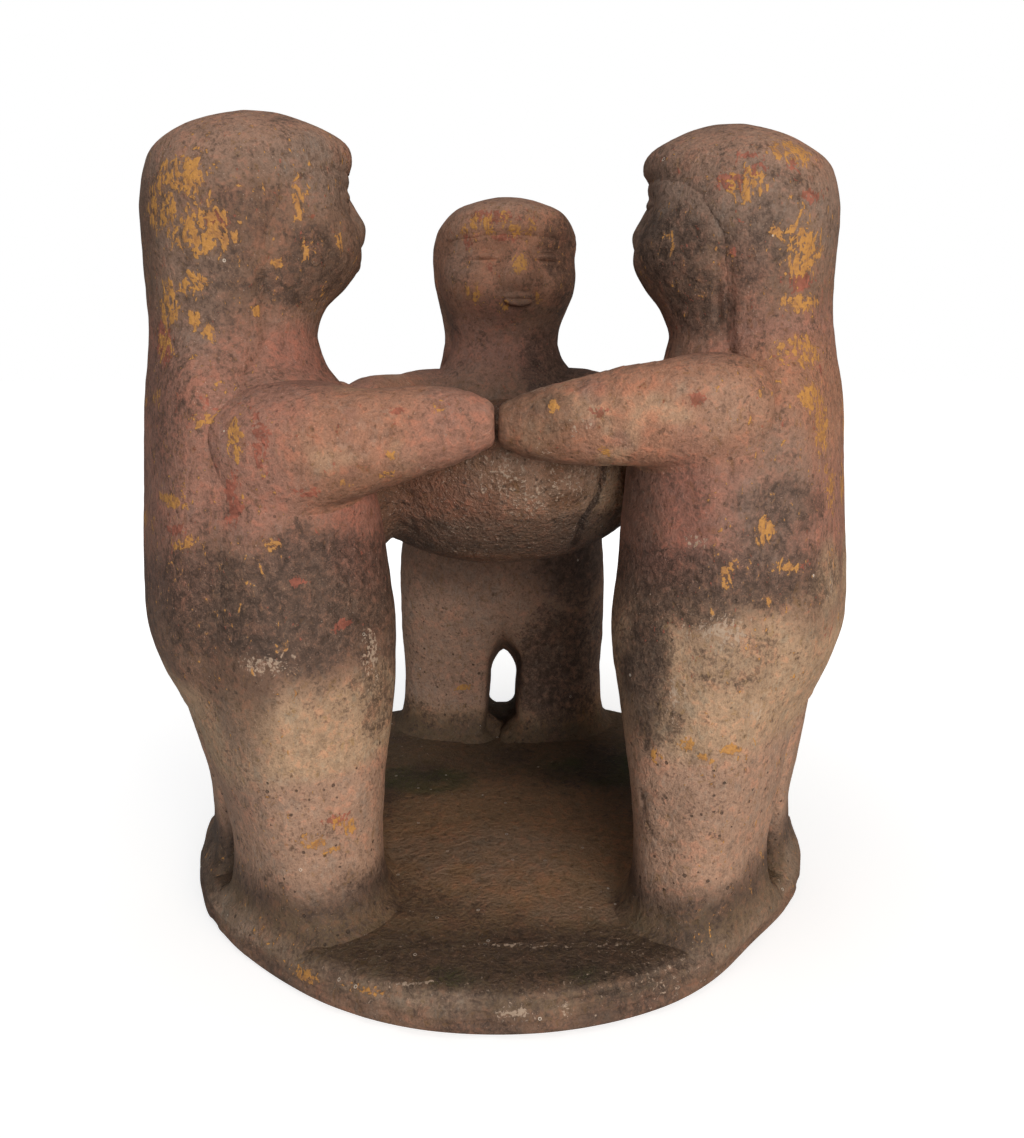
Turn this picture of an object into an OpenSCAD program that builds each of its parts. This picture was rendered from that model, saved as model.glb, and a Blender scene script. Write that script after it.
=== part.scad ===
// Candle holder of low-fired clay: three figures stand on a round slab, facing its middle,
// and join arms in a ring round a bowl. Millimetres, +Z up, origin under the middle of the slab.

/* [Slab] */
// Thickness of the slab
slab_t = 11; // [8:0.5:16]
// Slab beyond the circle on which the figures stand
slab_margin = 20.5; // [16:1:30]
// Rounding of the worn upper edge
slab_top_round = 4; // [2:0.5:5]
// Rounding of the lower edge
slab_foot_round = 2; // [1:0.5:4]

/* [Bowl] */
// Outer radius of the bowl at its rim
bowl_r = 52; // [44:1:64]
// Height of the bowl from its underside to its rim
bowl_h = 46; // [38:1:54]
// Thickness of the bowl's wall
bowl_wall = 7; // [5:0.5:9]
// Depth to which the bowl is pressed into each chest
bowl_seat = 2; // [1:0.5:5]

/* [Figures] */
// Width of a figure across the hips
body_w = 82; // [68:1:99]
// Chest in front of the spine line, at the bowl's rim
chest_d = 30; // [26:1:36]
// Belly in front of the spine line: left, right and back figure
belly_d = [36, 33, 38]; // [32:1:46]
// Front of the thighs before the spine line: left, right and back figure
thigh_d = [33, 27.5, 34]; // [24:0.5:40]
// Back of the hips behind the spine line: left, right and back figure
back_d = [22.5, 21, 22.5]; // [18:0.5:28]
// Back of the calf behind the spine line: left, right and back figure
calf_d = [13, 13.5, 16]; // [10:0.5:22]
// Front of the shin before the spine line: left, right and back figure
shin_d = [29, 23, 27]; // [18:0.5:34]
// Height of the legs above the slab
leg_h = 53; // [44:1:64]
// Height of the torso, hips to neck
torso_h = 98; // [92:1:116]
// Width of the arch between a figure's legs
arch_w = 12; // [8:1:16]
// Height of the arch above the slab
arch_h = 40; // [30:1:43]
// Spread of a foot beyond the hips
foot_spread = 5; // [2:1:9]

/* [Heads] */
// Height of the skull above the neck joint: left, right and back figure
head_h = [57, 54, 53.5]; // [48:0.5:68]
// Width of the face
head_w = 49; // [42:1:59]
// Width of the neck
neck_w = 41; // [36:1:46]
// Clay of the hair over the skull and back
hair_t = 5; // [3:0.5:8]
// Height above the slab at which the hair ends
hair_end = 65; // [55:1:75]
// Height of the nose's tip above the neck joint: left, right and back figure
nose_up = [33, 31, 28]; // [24:0.5:36]
// Height of the eyes above the nose's tip
eyes_up = 5; // [3:0.5:8]
// Depth of the hollow across the face at the eyes
eye_in = 2.5; // [0:0.5:3]
// Distance from the middle of the face to an eye
eye_out = 12.5; // [9:0.5:15]
// Drop from the nose's tip to the mouth
mouth_down = 8.5; // [6:0.5:11]
// Turn of the head to the figure's left: left, right and back figure
head_turn = [0, 0, 11]; // [-15:1:15]

/* [Arms] */
// Height of an arm at the shoulder
arm_root_h = 28; // [24:1:34]
// Thickness of an arm at the shoulder
arm_root_w = 27; // [22:1:31]
// Height of a hand where it meets the next
hand_h = 10; // [8:0.5:14]
// Thickness of a hand where it meets the next
hand_w = 15; // [12:0.5:18]
// Gap left between a hand and the bowl's rim
hand_gap = 0.5; // [0:0.5:3]
// Drop from the neck joint to the middle of the arms at the shoulder: left, right and back figure
arm_drop = [25, 16, 22]; // [14:1:28]
// Drop from the neck joint to the bowl's rim and the middle of the hands
rim_drop = 17; // [14:1:22]

/* [Hidden] */

// The three figures, and their azimuths round the slab
LEFT = 0;
RIGHT = 1;
BACK = 2;
STAND_AT = [210, 330, 90];
// Half the angle from one figure to the next, where their hands meet
hand_step = 60;
// Circle on which the figures' spine lines stand
figure_r = bowl_r + chest_d - bowl_seat;
slab_r = figure_r + slab_margin;
hip_z = slab_t + leg_h;
neck_z = hip_z + torso_h;
rim_z = neck_z - rim_drop;
bowl_z = rim_z - bowl_h;
hand_r = bowl_r + hand_gap + hand_w / 2;
// Face in front of the spine line at the eyes, and the skull's back behind the hips' back
face_d = chest_d + 3;
skull_in = 7.5;
// Power that squares off the face, seen from above
face_power = 2.4;
// Shares of the skull's height at which the cheeks stand out most and the hollow is deepest
cheek_at = 0.53;
brow_at = 0.66;
// Points round each ring of the modelled rolls
sides = 24;
// Rings between two stations of a profile
steps = 2;
// Overrun of a cut
over = 1;

clay = "#a3705a";
dark_clay = "#6f5549";
salmon_clay = "#b57a63";
buff_clay = "#a98f6d";
slab_clay = "#6e5c46";

// Power that squares off a circle: 2 is round, 3 is boxy
function squared(v, power) = sign(v) * pow(abs(v), 2 / power);
function mix(a, b, t) = a + (b - a) * t;
function limit(v) = min(max(v, 0), 1);

// One horizontal ring from a station [z, back, front, right, left, power],
// turned about the spine line by `turn` degrees
function ring(s, turn = 0) = [
    for (i = [0 : sides - 1])
        let (
            a = 360 * (i + 0.5) / sides,
            full = pow(cos(180 / sides), 2 / s[5]),
            x = mix(s[1], s[2], 0.5) + (s[2] - s[1]) / 2 * squared(cos(a), s[5]) / full,
            y = mix(s[3], s[4], 0.5) + (s[4] - s[3]) / 2 * squared(sin(a), s[5]) / full
        )
        [x * cos(turn) - y * sin(turn), x * sin(turn) + y * cos(turn), s[0]]
];

// Smooth curve through stations, `steps` rings to each interval
function between(p, q, r, s, t) =
    0.5 * (2 * q + (r - p) * t + (2 * p - 5 * q + 4 * r - s) * t * t
        + (3 * q - p - 3 * r + s) * t * t * t);
function smooth(st) = let (last = len(st) - 1) [
    for (i = [0 : last - 1])
        for (k = [0 : steps - 1])
            between(st[max(i - 1, 0)], st[i], st[i + 1], st[min(i + 2, last)], k / steps),
    st[last]
];

// Closed skin through rings of equal count, lowest or rearmost ring first
module skin(rings) {
    n = len(rings[0]);
    m = len(rings);
    polyhedron(
        points = [for (r = rings) each r],
        faces = [
            for (k = [1 : n - 2]) [0, k, k + 1],
            for (j = [0 : m - 2], k = [0 : n - 1])
                each [
                    [j * n + k, (j + 1) * n + k, j * n + (k + 1) % n],
                    [j * n + (k + 1) % n, (j + 1) * n + k, (j + 1) * n + (k + 1) % n]
                ],
            for (k = [1 : n - 2]) [(m - 1) * n, (m - 1) * n + k + 1, (m - 1) * n + k]
        ]
    );
}

// Stands figure f on the slab: its own +X looks to the middle, +Y is its left
module stand(f) {
    rotate([0, 0, STAND_AT[f]]) translate([figure_r, 0, 0]) rotate([0, 0, 180]) children();
}

module base_slab() {
    color(slab_clay)
    rotate_extrude($fn = 180) {
        difference() {
            square([slab_r, slab_t]);
            translate([slab_r - slab_top_round, slab_t - slab_top_round])
                difference() {
                    square(slab_top_round + over);
                    circle(slab_top_round, $fn = 48);
                }
            translate([slab_r - slab_foot_round, slab_foot_round])
                difference() {
                    translate([0, -slab_foot_round - over]) square(slab_foot_round + over);
                    circle(slab_foot_round, $fn = 48);
                }
        }
    }
}

// Half outline of the bowl's round bottom and nearly upright side, drawn in by `inset`
function bowl_edge(inset) = [
    for (a = [0 : 7.5 : 90])
        [(bowl_r - inset) * pow(sin(a), 0.8), bowl_z + inset + (bowl_h - inset) * (1 - pow(cos(a), 0.9))]
];

module bowl_body() {
    rotate_extrude($fn = 90) polygon([each bowl_edge(0), [0, rim_z]]);
}

module bowl() {
    color(buff_clay)
    difference() {
        bowl_body();
        rotate_extrude($fn = 90)
            polygon([
                each bowl_edge(bowl_wall),
                [bowl_r - bowl_wall, rim_z + over],
                [0, rim_z + over]
            ]);
    }
}

// The bowl as a figure sees it, for pressing it into chests and arms
module bowl_seen() {
    translate([figure_r, 0, 0]) bowl_body();
}

// Hips, belly, chest and shoulders
module torso_form(f) {
    w = body_w / 2;
    n = neck_w / 2;
    bd = back_d[f];
    fd = belly_d[f];
    td = thigh_d[f];
    skin([for (s = smooth([
        [hip_z, -bd + 3.5, td, -w, w, 2.8],
        [hip_z + 12, -bd + 1.5, mix(td, fd, 0.6), -w, w, 2.7],
        [hip_z + 26, -bd, fd, -w + 1, w - 1, 2.6],
        [hip_z + 42, -bd + 0.5, fd - 1, -w + 2.5, w - 2.5, 2.5],
        [hip_z + 56, -bd + 1.5, mix(fd, chest_d, 0.45), -w + 3.5, w - 3.5, 2.5],
        [neck_z - 28, -bd + 3, mix(fd, chest_d, 0.8), -w + 3.5, w - 3.5, 2.4],
        [neck_z - 16, -bd + 4, chest_d, -w + 4, w - 4, 2.3],
        [neck_z - 8, -bd + 5.5, chest_d - 1.5, -w + 6, w - 6, 2.3],
        [neck_z - 4, -bd + 7, chest_d - 3, -mix(w, n, 0.55), mix(w, n, 0.55), 2.2],
        [neck_z, -bd + 9, chest_d - 6, -n, n, 2.2]
    ])) ring(s)]);
}

module torso(f) {
    color(clay)
    difference() {
        torso_form(f);
        bowl_seen();
    }
}

// side is 1 for the figure's left leg and -1 for its right leg
module leg(f, side) {
    w = body_w / 2;
    g = arch_w / 2;
    arch_z = slab_t + arch_h;
    cd = calf_d[f];
    sd = shin_d[f];
    bd = back_d[f] - 3.5;
    td = thigh_d[f];
    color(clay)
    mirror([0, side < 0 ? 1 : 0, 0])
    skin([for (s = smooth([
        [slab_t, -cd - 3, sd + 4, 0, w + foot_spread, 2.3],
        [slab_t + 4, -cd - 1, sd + 2, 1, w + 0.6 * foot_spread, 2.3],
        [slab_t + 10, -cd, sd, g - 1, w + 0.2 * foot_spread, 2.3],
        [slab_t + 20, -cd, sd, g, w, 2.3],
        [arch_z - 12, -cd - 1, sd + 0.5, g - 1, w, 2.4],
        [arch_z, -mix(cd, bd, 0.6), mix(sd, td, 0.4), 0, w, 2.6],
        [hip_z, -bd, td, 0, w, 2.8]
    ])) ring(s)]);
}

// Neck, jaw, face and skull
module head_form(f) {
    n = neck_w / 2;
    w = head_w / 2;
    z = neck_z;
    h = head_h[f];
    bd = back_d[f];
    skin([for (s = smooth([
        [z, -bd + 9, chest_d - 6, -n, n, 2.2],
        [z + 0.10 * h, -bd + 9, chest_d - 6.8, -n, n, 2.2],
        [z + 0.21 * h, -bd + 9, chest_d - 4.5, -n, n, 2.2],
        [z + 0.31 * h, -bd + 8.5, chest_d + 2, -w + 3, w - 3, 2.3],
        [z + 0.42 * h, -bd + skull_in + 0.5, face_d + 0.5, -w + 1.5, w - 1.5, face_power],
        [z + cheek_at * h, -bd + skull_in, face_d, -w, w, face_power],
        [z + brow_at * h, -bd + skull_in, face_d - eye_in, -w + 0.2, w - 0.2, face_power],
        [z + 0.77 * h, -bd + skull_in + 1, face_d - 1.5, -w + 1.2, w - 1.2, face_power],
        [z + 0.84 * h, -bd + 9.5, chest_d, -w + 3, w - 3, 2.3],
        [z + 0.94 * h, -bd + 14, chest_d - 6, -w + 9, w - 9, 2.2],
        [z + h, -bd + 22, chest_d - 16, -w + 17, w - 17, 2]
    ])) ring(s, head_turn[f])]);
}

module head(f) {
    color(dark_clay) head_form(f);
}

// Side outline of what the hair leaves open: face, jaw and front of the neck
module face_opening(f) {
    z = neck_z;
    h = head_h[f];
    rotate([0, 0, head_turn[f]])
        rotate([90, 0, 0])
            linear_extrude(2 * body_w, center = true)
                polygon([
                    [-2, z - 40],
                    [-2, z + 0.5 * h],
                    [4, z + 0.68 * h],
                    [14, z + 0.79 * h],
                    [chest_d + 20, z + 0.84 * h],
                    [chest_d + 20, z - 40]
                ]);
}

// Cap with a brim over the forehead, and the slab of hair down the back. A seventh value in each
// station is the ring's share of the head's turn.
module hair(f) {
    n = neck_w / 2 + 1.5;
    w = head_w / 2 + 1.5;
    z = neck_z;
    h = head_h[f];
    b = back_d[f] + hair_t;
    end_z = slab_t + hair_end;
    color(dark_clay)
    difference() {
        skin([for (s = smooth([
            [end_z, -b + 4.5, -12, -17, 17, 2.5, 0],
            [end_z + 8, -b + 1.2, -11, -22, 22, 2.5, 0],
            [end_z + 18, -b, -10, -24, 24, 2.5, 0],
            [mix(end_z, z, 0.55), -b + 2, -6, -25, 25, 2.5, 0],
            [z - 12, -b + 4.5, -3, -n - 4, n + 4, 2.5, 0.2],
            [z, -b + 6, 8, -n - 1, n + 1, 2.4, 0.7],
            [z + 0.14 * h, -b + 6.5, 16, -n, n, 2.3, 1],
            [z + 0.32 * h, -b + 6.7, 24, -w + 2.5, w - 2.5, 2.3, 1],
            [z + 0.52 * h, -b + 6.8, 30, -w + 0.3, w - 0.3, 2.3, 1],
            [z + 0.70 * h, -b + 7.4, chest_d + 1, -w, w, 2.3, 1],
            [z + 0.84 * h, -b + 9.5, chest_d + 2, -w + 2, w - 2, 2.2, 1],
            [z + 0.93 * h, -b + 14, chest_d + 3, -w + 6, w - 6, 2.2, 1],
            [z + h, -b + 20, chest_d - 3, -w + 14, w - 14, 2.1, 1],
            [z + h + 0.6 * hair_t, -b + 28, chest_d - 14, -w + 20, w - 20, 2, 1]
        ])) ring(s, head_turn[f] * s[6])]);
        head_form(f);
        torso_form(f);
        face_opening(f);
    }
}

// How far the face stands before the spine line at y, where it stands `front` before it in the middle
function cheek_x(f, y, front) =
    let (
        back = skull_in - back_d[f],
        round_off = 1 - pow(limit(abs(y) / (head_w / 2 - 0.5)), face_power)
    )
    mix(back, front, 0.5) + (front - back) / 2 * pow(round_off, 1 / face_power);

// Small roll on the face, which stands `front` before the spine line there: its middle at y and z,
// `half` its half length, `thick` its height, standing `proud` of the face; its ends are thinner,
// follow the cheek and are lifted or dropped by `lift`
module face_roll(f, y, z, front, half, thick, proud, lift) {
    rotate([0, 0, head_turn[f]])
    skin([for (k = [0 : 8])
        let (
            t = -1 + k / 4,
            size = sqrt(1 - 0.7 * t * t),
            yy = y + half * t,
            face_x = cheek_x(f, yy, front),
            zz = z + lift * t * t
        )
        [for (a = [0 : 45 : 315])
            [face_x + proud * size * cos(a), yy, zz + thick / 2 * size * sin(a)]]
    ]);
}

module nose(f) {
    z = neck_z + nose_up[f];
    root_x = chest_d - 5;
    color(clay)
    difference() {
        skin([for (s = smooth([
            [z - 6, root_x, chest_d + 4.5, -3.5, 3.5, 2],
            [z - 3, root_x, chest_d + 6, -5.5, 5.5, 2],
            [z, root_x, chest_d + 6.5, -5.2, 5.2, 2],
            [z + 4.5, root_x, chest_d + 4.8, -3.6, 3.6, 2],
            [z + 9, root_x, chest_d + 2.2, -2.4, 2.4, 2]
        ])) ring(s, head_turn[f])]);
        head_form(f);
    }
}

module eyelids(f) {
    z = neck_z + nose_up[f] + eyes_up;
    up_face = (nose_up[f] + eyes_up) / head_h[f];
    front = face_d - eye_in * limit((up_face - cheek_at) / (brow_at - cheek_at));
    color(clay)
    difference() {
        for (y = [-eye_out, eye_out]) {
            face_roll(f, y, z + 1.7, front, 5.5, 1.9, 1.8, -0.7);
            face_roll(f, y, z - 1.7, front, 5.5, 1.9, 1.8, 0.7);
        }
        head_form(f);
    }
}

module lips(f) {
    z = neck_z + nose_up[f] - mouth_down;
    color(clay)
    difference() {
        union() {
            face_roll(f, 0, z + 1.4, face_d, 5.8, 2.4, 2.8, -0.3);
            face_roll(f, 0, z - 1.4, face_d, 5.2, 2.4, 2.6, 0.3);
        }
        head_form(f);
    }
}

// Point and direction at share t of a curve drawn by four points
function curve(p, t) =
    pow(1 - t, 3) * p[0] + 3 * t * pow(1 - t, 2) * p[1] + 3 * t * t * (1 - t) * p[2] + pow(t, 3) * p[3];
function slope(p, t) =
    pow(1 - t, 2) * (p[1] - p[0]) + 2 * t * (1 - t) * (p[2] - p[1]) + t * t * (p[3] - p[2]);

// side is 1 for the figure's left arm and -1 for its right arm. It starts inside the shoulder
// and ends square to the plane where it meets the neighbour's hand.
module arm(f, side) {
    shoulder_z = neck_z - arm_drop[f];
    hand = [figure_r - hand_r * cos(hand_step), hand_r * sin(hand_step), rim_z];
    along = [sin(hand_step), cos(hand_step), 0];
    route = [
        [-4, body_w / 2 - 20, shoulder_z],
        [8, body_w / 2 - 6, shoulder_z],
        hand - 24 * along,
        hand
    ];
    // Shares of the change from the shoulder's size to the hand's, at equal steps of the route
    taper = [0.2, 0.05, 0, 0, 0.04, 0.1, 0.2, 0.3, 0.42, 0.6, 1];
    last = len(taper) - 1;
    color(salmon_clay)
    mirror([0, side < 0 ? 1 : 0, 0])
    difference() {
        skin([for (k = [0 : last])
            let (
                c = curve(route, k / last),
                d = slope(route, k / last),
                across = [d[1], -d[0], 0] / norm([d[0], d[1]]),
                w = mix(arm_root_w, hand_w, taper[k]) / 2,
                h = mix(arm_root_h, hand_h, taper[k]) / 2
            )
            [for (a = [0 : 18 : 342])
                c + across * w * squared(cos(a), 2.2) + [0, 0, h * squared(sin(a), 2.2)]]
        ]);
        torso_form(f);
        bowl_seen();
    }
}

base_slab();
bowl();

stand(LEFT) torso(LEFT);  // left_figure_torso
stand(LEFT) leg(LEFT, 1);  // left_figure_left_leg
stand(LEFT) leg(LEFT, -1);  // left_figure_right_leg
stand(LEFT) head(LEFT);  // left_figure_head
stand(LEFT) hair(LEFT);  // left_figure_hair
stand(LEFT) nose(LEFT);  // left_figure_nose
stand(LEFT) eyelids(LEFT);  // left_figure_eyelids
stand(LEFT) lips(LEFT);  // left_figure_lips
stand(LEFT) arm(LEFT, 1);  // left_figure_left_arm
stand(LEFT) arm(LEFT, -1);  // left_figure_right_arm

stand(RIGHT) torso(RIGHT);  // right_figure_torso
stand(RIGHT) leg(RIGHT, 1);  // right_figure_left_leg
stand(RIGHT) leg(RIGHT, -1);  // right_figure_right_leg
stand(RIGHT) head(RIGHT);  // right_figure_head
stand(RIGHT) hair(RIGHT);  // right_figure_hair
stand(RIGHT) nose(RIGHT);  // right_figure_nose
stand(RIGHT) eyelids(RIGHT);  // right_figure_eyelids
stand(RIGHT) lips(RIGHT);  // right_figure_lips
stand(RIGHT) arm(RIGHT, 1);  // right_figure_left_arm
stand(RIGHT) arm(RIGHT, -1);  // right_figure_right_arm

stand(BACK) torso(BACK);  // back_figure_torso
stand(BACK) leg(BACK, 1);  // back_figure_left_leg
stand(BACK) leg(BACK, -1);  // back_figure_right_leg
stand(BACK) head(BACK);  // back_figure_head
stand(BACK) hair(BACK);  // back_figure_hair
stand(BACK) nose(BACK);  // back_figure_nose
stand(BACK) eyelids(BACK);  // back_figure_eyelids
stand(BACK) lips(BACK);  // back_figure_lips
stand(BACK) arm(BACK, 1);  // back_figure_left_arm
stand(BACK) arm(BACK, -1);  // back_figure_right_arm
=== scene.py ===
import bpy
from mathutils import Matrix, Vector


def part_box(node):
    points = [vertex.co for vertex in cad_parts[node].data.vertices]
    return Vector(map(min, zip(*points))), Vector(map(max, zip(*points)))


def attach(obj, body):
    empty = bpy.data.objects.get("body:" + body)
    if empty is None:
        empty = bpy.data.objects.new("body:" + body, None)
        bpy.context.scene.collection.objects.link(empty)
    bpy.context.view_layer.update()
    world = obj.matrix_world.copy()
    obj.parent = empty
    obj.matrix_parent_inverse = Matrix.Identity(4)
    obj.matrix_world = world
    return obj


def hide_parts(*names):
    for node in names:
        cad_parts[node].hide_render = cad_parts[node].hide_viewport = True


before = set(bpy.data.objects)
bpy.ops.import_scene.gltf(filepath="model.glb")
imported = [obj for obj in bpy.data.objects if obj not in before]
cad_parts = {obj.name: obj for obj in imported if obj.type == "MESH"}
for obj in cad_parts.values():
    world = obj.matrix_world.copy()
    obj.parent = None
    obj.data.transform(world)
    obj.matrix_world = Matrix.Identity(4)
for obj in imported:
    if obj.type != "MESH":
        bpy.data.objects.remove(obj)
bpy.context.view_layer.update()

import math

import bpy
import numpy as np


# ------------------------------------------------------------------ the slab
# A thick round cake of low-fired clay, patted flat by hand. Its upper edge is worn down to the pink
# body, its top is dark with smoke and earth, and a little moss grows where the back figure stands.

MM = 0.001
slab_low, slab_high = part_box("base_slab")
SLAB_R = (slab_high.x - slab_low.x) / 2 / MM
SLAB_T = slab_high.z / MM
# Share of the full number of points in every grid
FINE = 1.0
QUARTER = math.pi / 2

EARTHS = {
    "crust": (0.180, 0.092, 0.053),
    "olive": (0.150, 0.096, 0.054),
    "earth": (0.340, 0.200, 0.108),
    "moss": (0.075, 0.082, 0.030),
    "worn": (0.330, 0.225, 0.160),
    "umber": (0.130, 0.080, 0.055),
    "brown": (0.235, 0.135, 0.090),
    "smoke": (0.092, 0.060, 0.046),
    "slate": (0.265, 0.175, 0.130),
    "crown": (0.365, 0.205, 0.138),
    "rose": (0.330, 0.165, 0.118),
    "brick": (0.290, 0.125, 0.090),
    "salmon": (0.375, 0.185, 0.115),
    "buff": (0.440, 0.288, 0.182),
    "shin": (0.400, 0.245, 0.168),
    "foot": (0.135, 0.080, 0.054),
    "ochre": (0.560, 0.270, 0.065),
    "rust": (0.330, 0.155, 0.055),
    "red": (0.330, 0.095, 0.060),
    "chalk": (0.680, 0.580, 0.480),
}

chance = np.random.default_rng(11)
LATTICE = chance.uniform(-1, 1, (4, 32, 32, 32))


def lumps(p, size, kind):
    """Smooth random swelling from -1 to 1: random values on a cubic lattice `size` mm apart, eased
    from corner to corner along each of the three axes. `kind` picks the set of values."""
    q = p / size + 5.7 * (kind + 1)
    cell = np.floor(q).astype(int)
    t = q - cell
    t = t * t * (3 - 2 * t)
    a, b = cell & 31, (cell + 1) & 31
    values = LATTICE[kind % 4]
    level = []
    for z in (a[:, 2], b[:, 2]):
        near = values[a[:, 0], a[:, 1], z] * (1 - t[:, 0]) + values[b[:, 0], a[:, 1], z] * t[:, 0]
        far = values[a[:, 0], b[:, 1], z] * (1 - t[:, 0]) + values[b[:, 0], b[:, 1], z] * t[:, 0]
        level.append(near * (1 - t[:, 1]) + far * t[:, 1])
    return level[0] * (1 - t[:, 2]) + level[1] * t[:, 2]


def ease(start, end, v):
    """0 at `start` and 1 at `end`, level at both: three squares less two cubes of the share between."""
    t = np.clip((v - start) / (end - start), 0, 1)
    return t * t * (3 - 2 * t)


def soft_min(a, b, blend):
    """The smaller of two, rounded over where they differ by less than `blend`."""
    h = np.maximum(blend - np.abs(a - b), 0) / blend
    return np.minimum(a, b) - h * h * blend / 4


def soft_max(a, b, blend):
    """The larger of two, rounded over where they differ by less than `blend`."""
    h = np.maximum(blend - np.abs(a - b), 0) / blend
    return np.maximum(a, b) + h * h * blend / 4


def lute(own, *neighbours):
    """Height above a lump of clay smoothed onto its neighbours: to each (height, blend) the lump is
    rounded over, and a little way out the smoothed edge dives under the neighbour's surface."""
    best = own
    for height, blend in neighbours:
        dive = 1.5 * np.maximum(0, own - 0.85 * blend)
        best = np.minimum(best, soft_min(own, height, blend) + dive)
    return best


def settle(height, start, aim, relief):
    """Points where rays leave the clay. Each ray starts inside and goes on by 0.62 of its depth below
    the surface, or back by as much when it is above. The first time it looks for height 0, and the
    second time for the height that `relief` gives at the place first found."""
    out, level = np.full(len(start), 1.0), np.zeros(len(start))
    for stage in (1, 2):
        live = np.arange(len(start))
        for _ in range(40):
            gap = height(start[live] + out[live, None] * aim[live]) - level[live]
            out[live] = np.maximum(out[live] - 0.62 * gap, 0.3)
            live = live[np.abs(gap) > 0.02]
            if len(live) == 0:
                break
        if stage == 1:
            level = relief(start + out[:, None] * aim)
    return start + out[:, None] * aim


def worked(p, coarse=1.0):
    """Unevenness in mm left by fingers and a wet rag: lumps 24, 11, 4.5 and 2.2 mm across."""
    return (
        0.42 * coarse * lumps(p, 24, 0)
        + 0.26 * coarse * lumps(p, 11, 1)
        + 0.12 * lumps(p, 4.5, 2)
        + 0.07 * lumps(p, 2.2, 3)
    )


def scored(p, line, width):
    """1 on a scored line and 0 away from it: a bell curve of the distance to the nearest stretch."""
    near = np.full(len(p), 1e9)
    for a, b in zip(line[:-1], line[1:]):
        a, along = np.array(a, float), np.array(b, float) - np.array(a, float)
        t = np.clip((p - a) @ along / (along @ along), 0, 1)
        near = np.minimum(near, ((p - a - t[:, None] * along) ** 2).sum(1))
    return np.exp(-near / width**2)


def patch(p, spots, fade=0.0):
    """Strength of a group of spots: 1 at the middle of the nearest ellipsoid (x, y, z and its three
    half lengths), 0 at its edge and below 0 beyond."""
    best = np.full(len(p), -1.0)
    for x, y, z, rx, ry, rz in spots:
        far = np.sqrt(((p[:, 0] - x) / rx) ** 2 + ((p[:, 1] - y) / ry) ** 2 + ((p[:, 2] - z) / rz) ** 2)
        best = np.maximum(best, 1 - far)
    return np.maximum(best - fade, -1)


def cloud(p, x, y, z, rx, ry, rz):
    """Soft-edged cloud from 1 inside an ellipsoid to 0 outside it."""
    far = np.sqrt(((p[:, 0] - x) / rx) ** 2 + ((p[:, 1] - y) / ry) ** 2 + ((p[:, 2] - z) / rz) ** 2)
    return ease(1.3, 0.6, far)


def tint(tone, colour, share):
    return tone + (np.array(EARTHS[colour]) - tone) * share[:, None]


def skin(rows):
    """Points and faces of the closed surface through a grid of rings, whose first and last rings
    are each drawn together into one point. Faces are turned to point outwards by the sign of the
    enclosed volume."""
    m, n = rows.shape[:2]
    points = np.vstack([rows[0].mean(0), rows[1:-1].reshape(-1, 3), rows[-1].mean(0)])
    j, k = np.meshgrid(np.arange(m - 3), np.arange(n), indexing="ij")
    j, k = j.ravel(), k.ravel()
    k2 = (k + 1) % n
    quads = 1 + np.stack([j * n + k, j * n + k2, (j + 1) * n + k2, (j + 1) * n + k], 1)
    ring = np.arange(n)
    foot = np.stack([np.zeros(n, int), 1 + (ring + 1) % n, 1 + ring], 1)
    top = 1 + (m - 3) * n
    crown = np.stack([np.full(n, len(points) - 1), top + ring, top + (ring + 1) % n], 1)
    a, b, c = (points[quads[:, i]] for i in (0, 1, 2))
    if np.einsum("ij,ij->i", a, np.cross(b, c)).sum() < 0:
        quads, foot, crown = quads[:, ::-1], foot[:, ::-1], crown[:, ::-1]
    return points, [quads, foot, crown]


def lay_up(name, skins, finish, material, slot, *nodes):
    """Makes one piece of one or more closed skins, gives its points their tones and stains, and
    says which body it rides on and which finish it takes, and hides the plain solids it stands for."""
    points, corners, sizes, start = [], [], [], 0
    for p, faces in skins:
        for block in faces:
            corners.append((block + start).ravel())
            sizes.append(np.full(len(block), block.shape[1]))
        points.append(p)
        start += len(p)
    p, corners, sizes = np.vstack(points), np.concatenate(corners), np.concatenate(sizes)
    mesh = bpy.data.meshes.new(name)
    mesh.vertices.add(len(p))
    mesh.vertices.foreach_set("co", (p * MM).astype(np.float32).ravel())
    mesh.loops.add(len(corners))
    mesh.loops.foreach_set("vertex_index", corners.astype(np.int32))
    mesh.polygons.add(len(sizes))
    starts = np.concatenate([[0], np.cumsum(sizes)[:-1]])
    mesh.polygons.foreach_set("loop_start", starts.astype(np.int32))
    mesh.polygons.foreach_set("use_smooth", np.ones(len(sizes), bool))
    mesh.update(calc_edges=True)
    mesh.validate()
    tone, stains = finish(p)
    colour = mesh.attributes.new("tone", "FLOAT_COLOR", "POINT")
    rgba = np.ones((len(p), 4), np.float32)
    rgba[:, :3] = np.clip(tone, 0.002, 1)
    colour.data.foreach_set("color", rgba.ravel())
    for kind, values in stains.items():
        layer = mesh.attributes.new(kind, "FLOAT", "POINT")
        layer.data.foreach_set("value", values.astype(np.float32))
    mesh.materials.append(material)
    piece = bpy.data.objects.new(name, mesh)
    bpy.context.scene.collection.objects.link(piece)
    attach(piece, "root")
    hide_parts(*nodes)


def put(tree, kind, sockets=None, **settings):
    """Places a node, sets it up, and fills its sockets with values or links."""
    made = tree.nodes.new(kind)
    for key, value in settings.items():
        setattr(made, key, value)
    for where, value in (sockets or {}).items():
        if isinstance(value, bpy.types.NodeSocket):
            tree.links.new(value, made.inputs[where])
        else:
            made.inputs[where].default_value = value
    return made


def sums(tree, kind, a, b=0.0, c=0.0, clamp=False):
    return put(tree, "ShaderNodeMath", {0: a, 1: b, 2: c}, operation=kind, use_clamp=clamp).outputs[0]


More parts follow.
